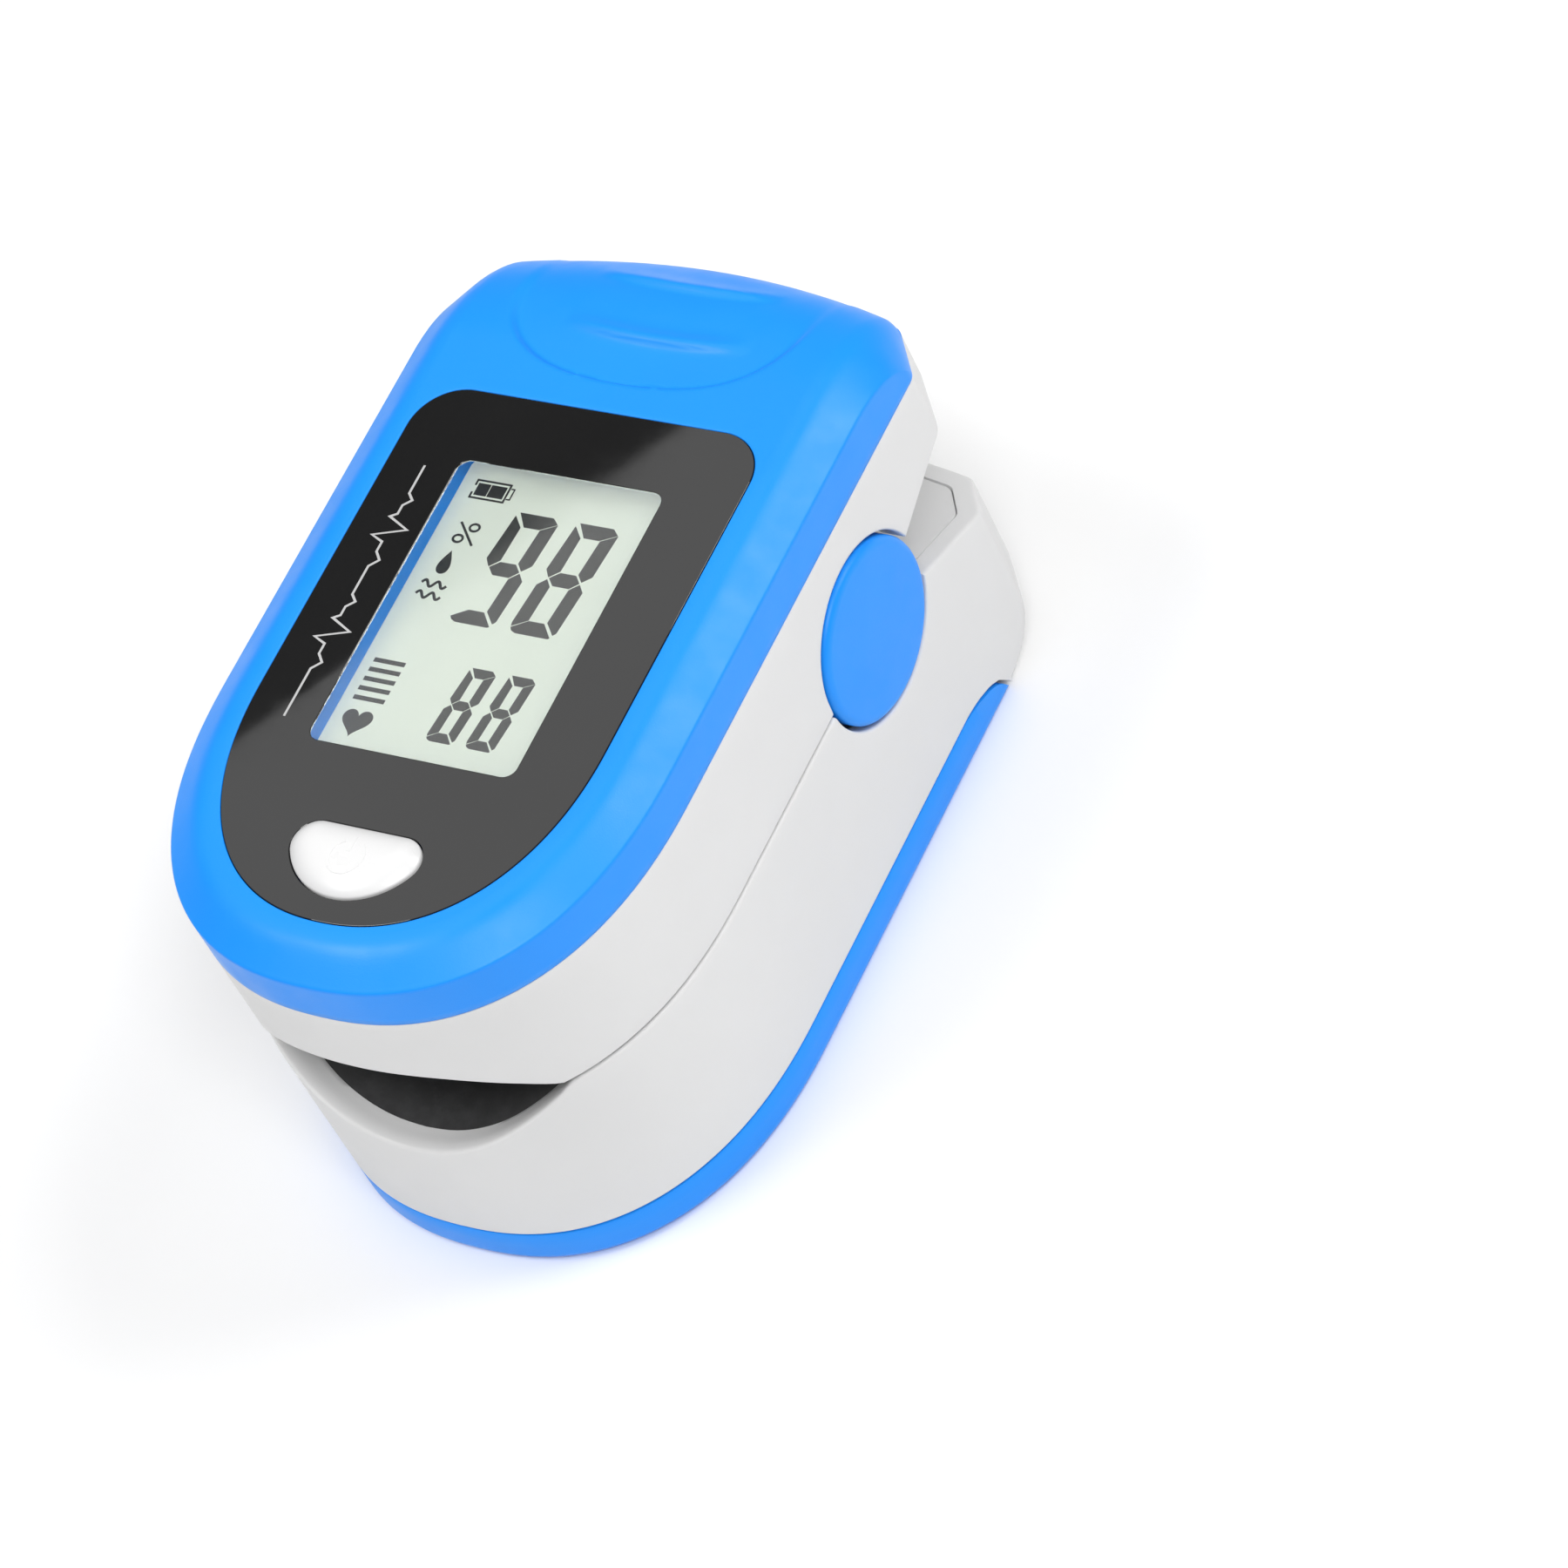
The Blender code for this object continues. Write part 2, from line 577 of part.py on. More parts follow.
def make_upper_frame():
    frame = frame_bar("upper_frame", UPPER_LIP, -1)
    clip(frame, extrude("inside", body_outline(FRAME_INSET), "z", 0, 40))
    join(frame, box("ceiling", (-12.8, CHANNEL_END - 0.8, 23.05), (12.8, 18.6, 23.65)))
    join(frame, box("stop", (-9.8, CHANNEL_END - 0.7, 17.95), (9.8, CHANNEL_END + 0.1, 23.4)))
    plate = extrude("plate", body_outline(FRAME_INSET), "z", 5, 40)
    lead = [(20, 18.9), (10.1, 18.9), (10.1, 17.8), (-10.1, 17.8), (-10.1, 18.9), (-20, 18.9), (-20, 40), (20, 40)]
    clip(plate, extrude("plate_front", lead, "z", 0, 50))
    near, far = UPPER_VEE_Z - UPPER_SLOPE * 1.2, UPPER_VEE_Z + UPPER_SLOPE * 28.8
    clip(plate, extrude("band", [(10, near), (40, far), (40, far + 1.3), (10, near + 1.3)], "x", -20, 20))
    join(frame, plate, box("riser", (-9.8, 17.9, 20.5), (9.8, 19.0, 23.7)))
    for side in (-1, 1):
        low, high = sorted((side * 10.3, side * 13.1))
        knuckle = rod("knuckle", "x", (PIVOT_Y, PIVOT_Z), KNUCKLE_R, low, high, 36)
        join(knuckle, rod("post", "z", (side * 11.7, PIVOT_Y), 1.25, 21.5, 27.1, 16))
        cut(knuckle, rod("bore", "x", (PIVOT_Y, PIVOT_Z), BORE_R, low - 1, high + 1, 20))
        join(frame, knuckle)
        cut(frame, rod("post_hole", "z", (side * 11.7, PIVOT_Y), 0.8, 22.6, 30, 14))
    return cut(frame, box("emitter_hole", (-2.3, SENSOR_Y - 2.3, 18), (2.3, SENSOR_Y + 2.3, 26)))


def make_upper_pad():
    pad = sheet("upper_pad", UPPER_LIP, PAD_SKIN, PAD_BACK, PAD_HALF, -40, 3.6)
    clip(pad, extrude("inside", body_outline(PAD_INSET), "z", 0, 40))
    return cut(pad, box("emitter_hole", (-2.9, SENSOR_Y - 2.9, 18), (2.9, SENSOR_Y + 2.9, 26)))


def make_cover():
    cover = cover_blank("upper_cover", 0.0, TOP, 0.0)
    cut(cover, cover_blank("hollow", 1.5, 31.0, 1.4))
    cut(cover, extrude("panel_recess", panel_outline(-0.1), "z", PANEL_FLOOR, 40))
    cut(cover, extrude("window_hole", window_outline(), "z", 20, 40))
    cut(cover, box("lcd_pocket", (-9.5, -15.4, 25), (9.5, 11.3, 31.55)))
    cut(cover, extrude("button_hole", button_outline(-0.15), "z", 20, 40))
    cut(cover, egg("dish", (0, 29.0, 45.2), (19.5, 17.0, 14.6), -19, 36))
    for y, z, half, tilt in ((21.5, 31.5, 6.6, -17), (25.5, 30.25, 6.2, -25)):
        join(cover, egg("ridge", (0.5, y, z), (half, 0.75, 0.85), tilt, 16))
    return cover


def make_display():
    panel = extrude("display_panel", panel_outline(), "z", PANEL_FLOOR + 0.05, TOP)
    cut(panel, extrude("window_hole", window_outline(), "z", 20, 40))
    cut(panel, extrude("button_hole", button_outline(-0.15), "z", 20, 40))
    extrude("display_window", window_outline(0.06), "z", PANEL_FLOOR + 0.05, TOP - 0.02)
    box("lcd_module", (-9.3, -15.2, 29.8), (9.3, 11.1, LCD_TOP))
    box("backlight", (-9.0, -14.8, 28.5), (9.0, 10.6, 29.65))


def make_board():
    board = extrude("main_board", body_outline(3.6), "z", 27.25, 28.15)
    cut(board, box("board_back", (-30, 18.5, 20), (30, 40, 40)))
    for side, word in ((-1, "left"), (1, "right")):
        cut(board, rod("hole", "z", (side * 11.7, PIVOT_Y), 0.9, 20, 40, 16))
        screw("board_screw_" + word, side * 11.7, PIVOT_Y, 29.05, 23.2)
        screw("lower_screw_" + word, side * 13.4, -8.0, 3.7, 14.0)
    box("processor_chip", (-3.5, 1.0, 25.9), (3.5, 8.0, 27.15))
    y = BUTTON_Y - 2.4
    switch = box("tact_switch", (-2.3, y - 2.3, 28.25), (2.3, y + 2.3, 29.6))
    cut(switch, rod("well", "z", (0, y), 1.25, 28.6, 31, 20))
    rod("switch_plunger", "z", (0, y), 1.15, 29.3, 30.15, 20)
    box("emitter_window", (-2.15, SENSOR_Y - 2.15, 22.4), (2.15, SENSOR_Y + 2.15, 23.1))
    box("emitter_led", (-1.4, SENSOR_Y - 1.4, 23.2), (1.4, SENSOR_Y + 1.4, 24.0))
    box("emitter_board", (-2.6, SENSOR_Y - 4.5, 24.1), (2.6, SENSOR_Y + 4.5, 24.7))


# ---- button and battery door ---------------------------------------------------------------------


def make_button():
    levels = [(-0.5, 30.25), (-0.5, 30.75), (0.0, 30.75), (0.0, 32.95), (0.12, 33.2), (0.5, 33.42), (1.4, 33.6),
              (2.3, BUTTON_TOP)]
    return loft("power_button", [at(button_outline(d), z) for d, z in levels])


def make_door():
    door = base_blank("battery_door", DOOR_TOP)
    side = [(-40, -5), (20.2, -5)] + DOOR_REAR[::-1] + [(-40, DOOR_TOP)]
    clip(door, extrude("side", side, "x", -30, 30))
    return cut(door, extrude("inside", body_outline(DOOR_WALL), "z", DOOR_FLOOR, 10))


# ---- materials -----------------------------------------------------------------------------------

BLUE = (0.035, 0.36, 0.95)
WHITE = (0.82, 0.82, 0.81)
GREY = (0.56, 0.56, 0.57)
BLACK = (0.02, 0.02, 0.022)
STEEL = (0.62, 0.62, 0.63)
LOOKS = {
    "upper_cover": (BLUE, 0, 0.35), "battery_door": (BLUE, 0, 0.35), "pivot_cap": (BLUE, 0, 0.35),
    "lower_case": (WHITE, 0, 0.4), "upper_case": (WHITE, 0, 0.4),
    "lower_frame": (GREY, 0, 0.5), "upper_frame": (GREY, 0, 0.5),
    "lower_pad": ((0.03, 0.03, 0.03), 0, 0.7), "upper_pad": ((0.03, 0.03, 0.03), 0, 0.7),
    "display_panel": (BLACK, 0, 0.12), "display_window": ((0.8, 0.85, 0.85), 0, 0.05),
    "lcd_module": ((0.62, 0.7, 0.6), 0, 0.3), "backlight": ((0.9, 0.9, 0.88), 0, 0.4),
    "main_board": ((0.02, 0.22, 0.08), 0, 0.4), "sensor_board": ((0.02, 0.22, 0.08), 0, 0.4),
    "emitter_board": ((0.02, 0.22, 0.08), 0, 0.4), "processor_chip": (BLACK, 0, 0.5),
    "tact_switch": (BLACK, 0, 0.5), "switch_plunger": (WHITE, 0, 0.4), "power_button": (WHITE, 0, 0.3),
    "emitter_led": ((0.7, 0.1, 0.08), 0, 0.3), "photodiode": ((0.08, 0.02, 0.1), 0, 0.2),
    "sensor_window": ((0.5, 0.1, 0.1), 0, 0.1), "emitter_window": ((0.5, 0.1, 0.1), 0, 0.1),
    "battery": ((0.1, 0.32, 0.2), 0.3, 0.35), "contact": (STEEL, 1, 0.3), "hinge_axle": (STEEL, 1, 0.25),
    "torsion_spring": (STEEL, 1, 0.3), "lower_screw": (STEEL, 1, 0.35), "board_screw": (STEEL, 1, 0.35),
}


def finish(obj):
    """Smooth shading and the object's own material."""
    obj.data.shade_smooth()
    obj.data.set_sharp_from_angle(angle=math.radians(35))
    key = max((k for k in LOOKS if obj.name.startswith(k)), key=len)
    colour, metallic, roughness = LOOKS[key]
    material = bpy.data.materials.new(obj.name)
    material.use_nodes = True
    shader = material.node_tree.nodes["Principled BSDF"]
    shader.inputs["Base Color"].default_value = (*colour, 1)
    shader.inputs["Metallic"].default_value = metallic
    shader.inputs["Roughness"].default_value = roughness
    obj.data.materials.clear()
    obj.data.materials.append(material)


def main():
    for obj in list(bpy.data.objects):
        bpy.data.objects.remove(obj)
    for make in (make_lower_case, make_lower_frame, make_lower_pad, make_sensor, make_cells, make_hinge,
                 make_upper_case, make_upper_frame, make_upper_pad, make_cover, make_display, make_board,
                 make_button, make_door):
        make()
    for obj in bpy.data.objects:
        finish(obj)


main()
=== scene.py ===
"""Looks of the fingertip pulse oximeter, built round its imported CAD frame.

Lengths in this file are millimetres until a mesh is made; the scene is in metres."""

import math

import bmesh
import bpy
import numpy as np
from mathutils import Matrix, Vector


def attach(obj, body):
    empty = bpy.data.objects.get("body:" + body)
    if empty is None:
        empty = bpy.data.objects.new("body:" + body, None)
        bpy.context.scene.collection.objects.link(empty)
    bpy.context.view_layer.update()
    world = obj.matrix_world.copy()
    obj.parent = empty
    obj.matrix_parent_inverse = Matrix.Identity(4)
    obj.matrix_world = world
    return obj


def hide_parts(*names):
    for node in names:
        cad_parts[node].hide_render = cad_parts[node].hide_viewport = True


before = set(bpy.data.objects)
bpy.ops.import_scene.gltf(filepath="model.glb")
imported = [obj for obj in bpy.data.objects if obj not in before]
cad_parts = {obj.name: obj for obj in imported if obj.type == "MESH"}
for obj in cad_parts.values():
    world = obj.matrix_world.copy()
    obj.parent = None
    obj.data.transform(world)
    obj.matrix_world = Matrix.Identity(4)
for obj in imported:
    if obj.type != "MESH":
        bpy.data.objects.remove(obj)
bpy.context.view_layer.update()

MM = 0.001
PIVOT_Y, PIVOT_Z = 11.2, 18.16  # the jaw hinge
NOTCH_R, CAP_R = 6.6, 6.28  # the cases' notch round a pivot cap, and the cap

# plan outline: straight sides, a rounded front, and a bowed back with chamfers from C1 to C2
HALF_W, SIDE_FRONT, FRONT, BACK = 17.0, -9.35, -29.9, 29.9
FRONT_POWER = 2.32  # the front is a superellipse of this power
C1, C2 = (17.0, 24.6), (14.35, 28.1)
BOW = BACK - C2[1]

# heights
TOP, EDGE = 32.9, 27.8  # the cover's flat top and its lower edge
CEILING = 31.0  # the cover's inner ceiling
PANEL_LOW, POCKET = 32.1, 32.05  # underside of the display panel, and the pocket below it
UPPER_SEAM, LOWER_SEAM = 17.8, 17.5  # edges of the two cases where the jaws meet
UPPER_SLOPE, LOWER_SLOPE = math.tan(math.radians(18.3)), 0.36  # of the gap behind the pivot
SLOPE_Z = 18.32  # the lower slope's height above the pivot's Y
TAIL_R = 4.4  # radius of the underside at the back


# ---- mesh tools ----------------------------------------------------------------------------------


class Body:
    """Collects rings of points into one mesh."""

    def __init__(self, name):
        self.name = name
        self.bm = bmesh.new()
        self.flat = []

    def ring(self, points):
        return [self.bm.verts.new(Vector([float(c) for c in p]) * MM) for p in points]

    def bridge(self, a, b, closed=True):
        count = len(a)
        for i in range(count if closed else count - 1):
            j = (i + 1) % count
            self.bm.faces.new((a[i], a[j], b[j], b[i]))

    def strip(self, rows, closed=True, cycle=False):
        rings = [self.ring(r) for r in rows]
        for a, b in zip(rings, rings[1:]):
            self.bridge(a, b, closed)
        if cycle:
            self.bridge(rings[-1], rings[0], closed)
        return rings

    def cap(self, ring):
        self.flat.append(self.bm.faces.new(ring))

    def fill(self, rings):
        """Flat faces between an outer ring and the rings of its holes."""
        edges = []
        for ring in rings:
            for a, b in zip(ring, ring[1:] + ring[:1]):
                edges.append(self.bm.edges.get((a, b)) or self.bm.edges.new((a, b)))
        made = bmesh.ops.triangle_fill(self.bm, use_beauty=True, use_dissolve=False, edges=edges)
        self.flat += [f for f in made["geom"] if isinstance(f, bmesh.types.BMFace)]

    def solid(self, rows):
        rings = self.strip(rows)
        self.cap(rings[0])
        self.cap(rings[-1])

    def object(self, sharp=38.0):
        bmesh.ops.recalc_face_normals(self.bm, faces=self.bm.faces)
        self.bm.faces.index_update()
        flat = [face.index for face in self.flat]
        mesh = bpy.data.meshes.new(self.name)
        self.bm.to_mesh(mesh)
        self.bm.free()
        mesh.set_sharp_from_angle(angle=math.radians(sharp))
        for index in flat:
            mesh.polygons[index].use_smooth = False
        obj = bpy.data.objects.new(self.name, mesh)
        bpy.context.scene.collection.objects.link(obj)
        return obj


def at(loop, z):
    """A plan outline at one height."""
    return [(p[0], p[1], z) for p in loop]


def raised(ring, z):
    """A plan outline with its own height at each point."""
    return np.column_stack([ring, z])


def curve(points):
    """A smooth curve through (x, z) points, as arrays for np.interp."""
    x, z = np.array(points, float).T
    slope = np.gradient(z, x)
    xs = np.linspace(x[0], x[-1], 200)
    k = np.clip(np.searchsorted(x, xs, side="right") - 1, 0, len(x) - 2)
    h = x[k + 1] - x[k]
    t = (xs - x[k]) / h
    value = ((2 * t**3 - 3 * t**2 + 1) * z[k] + (t**3 - 2 * t**2 + t) * h * slope[k]
             + (-2 * t**3 + 3 * t**2) * z[k + 1] + (t**3 - t**2) * h * slope[k + 1])
    return xs, value


def smooth(t):
    t = np.clip(t, 0, 1)
    return t * t * (3 - 2 * t)


def sideways(d):
    """Unit normals to an array of plan directions."""
    d = d / np.linalg.norm(d, axis=1)[:, None]
    return np.stack([-d[:, 1], d[:, 0]], 1)


def segment_distance(points, line):
    """Distance of each point to an open polyline."""
    p = np.asarray(points, float)[:, None, :]
    a, b = np.asarray(line[:-1], float)[None], np.asarray(line[1:], float)[None]
    ab = b - a
    t = np.clip(((p - a) * ab).sum(2) / np.maximum((ab**2).sum(2), 1e-12), 0, 1)
    return np.sqrt((((a + ab * t[..., None]) - p) ** 2).sum(2).min(1))


# ---- plan outlines -------------------------------------------------------------------------------


def bezier(a, corner, b, steps):
    t = np.linspace(0, 1, steps)[:, None]
    a, corner, b = (np.array(p, float) for p in (a, corner, b))
    return (1 - t) ** 2 * a + 2 * t * (1 - t) * corner + t**2 * b


def half_front(half_w, start, end, power, steps):
    """The front curve from (half_w, start) to (0, end), with its outward normals."""
    t = np.linspace(0, math.pi / 2, steps)
    c, s = np.maximum(np.cos(t), 1e-9), np.maximum(np.sin(t), 1e-9)
    x = half_w * c ** (2 / power)
    y = start + (end - start) * s ** (2 / power)
    nx = (x / half_w) ** (power - 1) / half_w
    ny = ((y - start) / (end - start)) ** (power - 1) / (end - start)
    n = np.stack([nx, ny], 1)
    return np.stack([x, y], 1), n / np.linalg.norm(n, axis=1)[:, None]


SIDE_Y = np.concatenate([
    [20.0, 19.2, 18.5, 18.05, 17.86],
    PIVOT_Y + NOTCH_R * np.cos(np.linspace(0.03, math.pi - 0.03, 44)),
    [4.55, 4.3, 3.8, 2.8, 1.2, -1.0, -3.4, -5.8, -7.8]])


def body_ring(inset=0.0):
    """The body's outline moved inwards, clockwise from the middle of the back, always with one count."""
    round_corner = 0.45
    slope = -2 * BOW / C2[0]
    bow_dir = np.array([1, slope]) / math.hypot(1, slope)
    ch = np.array(C1) - np.array(C2)
    ch_dir = ch / np.linalg.norm(ch)
    side_dir = np.array([0.0, -1.0])

    def mitre(corner, a, b):
        na, nb = np.array([a[1], -a[0]]), np.array([b[1], -b[0]])
        return np.array(corner) + (na + nb) * inset / (1 + na @ nb)

    k2, k1 = mitre(C2, bow_dir, ch_dir), mitre(C1, ch_dir, side_dir)
    scale = k2[0] / C2[0]
    x = np.linspace(0, 1, 41)[:-1] ** 0.96 * (k2[0] - round_corner)
    x0 = x / scale
    drop = np.sqrt(1 + (2 * BOW * x0 / C2[0] ** 2) ** 2)
    bow = np.stack([x, C2[1] + BOW * (1 - (x0 / C2[0]) ** 2) - inset * drop], 1)
    fit = (k2 - np.array([k2[0], C2[1] + BOW * (1 - (k2[0] / scale / C2[0]) ** 2)
                          - inset * math.sqrt(1 + slope**2)]))[1]
    bow[:, 1] += fit * (x / k2[0]) ** 2
    start = k2 - bow_dir * round_corner
    parts = [bow, bezier(start, k2, k2 + ch_dir * round_corner, 6)]
    a, b = k2 + ch_dir * round_corner, k1 - ch_dir * round_corner
    parts.append(a + (b - a) * np.linspace(0, 1, 8)[1:-1, None])
    parts.append(bezier(b, k1, k1 + side_dir * round_corner, 6))
    high = np.linspace(k1[1] - round_corner, SIDE_Y[0], 16)[1:-1]
    parts.append(np.stack([np.full(len(high) + len(SIDE_Y), HALF_W - inset), np.concatenate([high, SIDE_Y])], 1))
    front, normal = half_front(HALF_W, SIDE_FRONT, FRONT, FRONT_POWER, 54)
    parts.append(front - normal * inset)
    right = np.concatenate(parts)
    left = right[1:-1][::-1] * [-1, 1]
    return np.concatenate([right, left])


RING = body_ring()
COUNT = len(RING)
HALF = COUNT // 2
SIDE_LINE = np.array([(HALF_W, 60.0), (HALF_W, SIDE_FRONT)]
                     + list(half_front(HALF_W, SIDE_FRONT, FRONT, FRONT_POWER, 54)[0]))
SIDE_LINE = np.concatenate([SIDE_LINE, SIDE_LINE[::-1] * [-1, 1]])


def side_distance(p):
    return segment_distance(p, SIDE_LINE)


def chamfer_distance(p):
    d = np.array(C1) - np.array(C2)
    d = d / np.linalg.norm(d)
    q = np.abs(p[:, 0])
    return -((q - C1[0]) * -d[1] + (p[:, 1] - C1[1]) * d[0])


def bow_distance(p):
    x = np.clip(np.abs(p[:, 0]), 0, C2[0] + 3)
    slope = -2 * BOW * x / C2[0] ** 2
    return (C2[1] + BOW * (1 - (x / C2[0]) ** 2) - p[:, 1]) / np.sqrt(1 + slope**2)


def back_distance(p, blend=0.7):
    """Distance to the chamfers and the bowed back, rounded where they meet."""
    a, b = chamfer_distance(p), bow_distance(p)
    k = np.maximum(blend - np.abs(a - b), 0) / blend
    return np.maximum(np.minimum(a, b) - k * k * blend / 4, 0)


def arc_match(loop, keys, other, other_keys):
    """Points of the loop 'other' that match the loop's points, by length along it between the keys."""
    def lengths(p):
        return np.concatenate([[0], np.cumsum(np.linalg.norm(np.diff(p, axis=0), axis=1))])
    out = []
    for (a, b), (c, d) in zip(zip(keys, keys[1:]), zip(other_keys, other_keys[1:])):
        s, o = lengths(loop[a:b + 1]), lengths(other[c:d + 1])
        s = s / s[-1] * o[-1]
        piece = np.stack([np.interp(s, o, other[c:d + 1, k]) for k in (0, 1)], 1)
        out.append(piece if b == keys[-1] else piece[:-1])
    return np.concatenate(out)


def panel_half(inset=0.0):
    """Half of the display panel's outline, from the middle of the back to the front."""
    w, back, r = 13.1 - inset, 14.6 - inset, 3.5 - inset
    top = np.stack([np.linspace(0, w - r, 30)[:-1], np.full(29, back)], 1)
    t = np.linspace(math.pi / 2, 0, 18)
    corner = np.stack([w - r + r * np.cos(t), back - r + r * np.sin(t)], 1)
    side = np.stack([np.full(48, w), np.linspace(back - r, -10, 50)[1:-1]], 1)
    front, normal = half_front(13.1, -10.0, -26.05, 2.2, 70)
    return np.concatenate([top, corner, side, front - normal * inset]), (0, 38, 95, 164)


RING_KEYS = [0] + [int(np.argmin(np.linalg.norm(RING[:HALF] - np.array(corner), axis=1)))
                   for corner in (C1, (HALF_W, SIDE_FRONT))] + [HALF]


def panel_ring(inset=0.0):
    """The panel's outline with as many points as the body's."""
    half, keys = panel_half(inset)
    matched = arc_match(RING[:HALF + 1], RING_KEYS, half, list(keys[:3]) + [len(half) - 1])
    return np.concatenate([matched, matched[1:-1][::-1] * [-1, 1]])


def rounded_loop(corners, radius, steps=7):
    """A clockwise polygon with rounded corners."""
    out = []
    for k, c in enumerate(corners):
        c = np.array(c, float)
        a, b = (np.array(corners[k - 1], float) - c), (np.array(corners[(k + 1) % len(corners)], float) - c)
        a, b = a / np.linalg.norm(a), b / np.linalg.norm(b)
        reach = radius / math.tan(math.acos(np.clip(a @ b, -1, 1)) / 2)
        centre = c + (a + b) / np.linalg.norm(a + b) * math.hypot(reach, radius)
        start, end = c + a * reach - centre, c + b * reach - centre
        turn = math.acos(np.clip(start @ end / radius**2, -1, 1))
        for t in np.linspace(0, 1, steps):
            w = (math.sin((1 - t) * turn) * start + math.sin(t * turn) * end) / math.sin(turn)
            out.append(centre + w)
    return np.array(out)


def rect_ring(x0, x1, y0, y1, radius, steps=8):
    return rounded_loop([(x1, y1), (x1, y0), (x0, y0), (x0, y1)], radius, steps)


def window_ring(inset=0.0):
    return rect_ring(-7.82 + inset, 7.82 - inset, -13.43 + inset, 9.24 - inset, max(0.9 - inset, 0.2))


def well_ring(inset=0.0):
    """The hole in the cover below the window: it stays out of sight behind the print except on the left."""
    return rect_ring(-7.9 + inset, 8.5 - inset, -14.2 + inset, 10.5 - inset, max(0.9 - inset, 0.2))


def button_ring(inset=0.0):
    """A half disc with round corners, its flat side towards the back."""
    big, y0, c = 5.2 - inset, -19.05 - inset, max(1.7 - inset, 0.15)
    centre = -19.05
    reach = math.sqrt((big - c) ** 2 - (centre - y0 + c) ** 2)
    lean = math.atan2(centre - y0 + c, reach)
    t = np.linspace(0, math.pi / 2 + lean, 14)
    right = np.stack([reach + c * np.sin(t), y0 - c + c * np.cos(t)], 1)
    t = np.linspace(lean, math.pi / 2, 26)[1:]
    arc = np.stack([big * np.cos(t), centre - big * np.sin(t)], 1)
    top = np.stack([np.linspace(0, reach, 12)[:-1], np.full(11, y0)], 1)
    half = np.concatenate([top, right, arc])
    return np.concatenate([half, half[1:-1][::-1] * [-1, 1]])


# ---- top cover -----------------------------------------------------------------------------------

SIDE_X, SIDE_Z = curve([(0, 31.17), (0.05, 31.23), (0.2, 31.34), (0.5, 31.55), (1.0, 31.9), (1.6, 32.31), (2.1, 32.62),
                        (2.5, 32.79), (2.9, 32.87), (3.4, TOP)])
STEP_X = 12.4


def grip(p):
    """How far the thumb grip moves the surface: a dish that fades towards the back, and two ridges."""
    x, y = p[:, 0] - 0.1, p[:, 1]
    e = ((np.abs(x) / 11.2) ** 2.5 + (np.maximum(24.9 - y, 0) / 7.95) ** 2.5) ** 0.4
    depth = 0.45 * (1 - smooth((y - 19.0) / 7.5)) + 0.1
    dish = -depth * smooth((1 - e) / 0.05)
    ridges = 0
    for yc, mid, half, high in ((21.0, 0.7, 7.0, 0.43), (26.0, 0.45, 7.0, 0.38)):
        taper = np.clip(1 - np.abs((x - mid) / half) ** 3.2, 0, 1)
        off = y - yc - 0.012 * (x - mid) ** 2
        ridges = ridges + high * taper * np.exp(-((off / np.where(off < 0, 0.34, 0.8)) ** 2))
    return dish + ridges


def pinch_distance(p, blend=0.7):
    """Distance along Y to the outline of the pinch end."""
    x = np.abs(p[:, 0])
    bow = C2[1] + BOW * (1 - (x / C2[0]) ** 2)
    line = C2[1] + (x - C2[0]) * (C1[1] - C2[1]) / (C1[0] - C2[0])
    k = np.maximum(blend - np.abs(bow - line), 0) / blend
    return np.maximum(np.minimum(bow, line) - k * k * blend / 4 - p[:, 1], 0)


def cover_height(p):
    """The bevelled top, falling to the lower edge in a quarter curve that carries the bevel round with it."""
    p = np.asarray(p, float)
    side = side_distance(p)
    share = np.clip(side / 2.65, 0, 1)
    fall = np.sqrt(1 - (1 - np.clip(pinch_distance(p) / (6.5 + 3.5 * share), 0, 1)) ** 2)
    z = EDGE + (np.interp(side, SIDE_X, SIDE_Z) - EDGE) * fall
    return z + grip(p)


def seam_step(ring):
    """The seam between cover and case sits a little higher along the back."""
    return np.where((np.abs(ring[:, 0]) < STEP_X) & (ring[:, 1] > 27), 0.26, 0.0)


def with_height(ring, drop=0.0, most=99.0):
    """An outline on the cover's surface, or drop below it."""
    return raised(ring, np.minimum(np.maximum(cover_height(ring) - drop, EDGE + 0.12 - min(drop, 0.1)), most))


def morph(a, b, t):
    return a + (b - a) * t


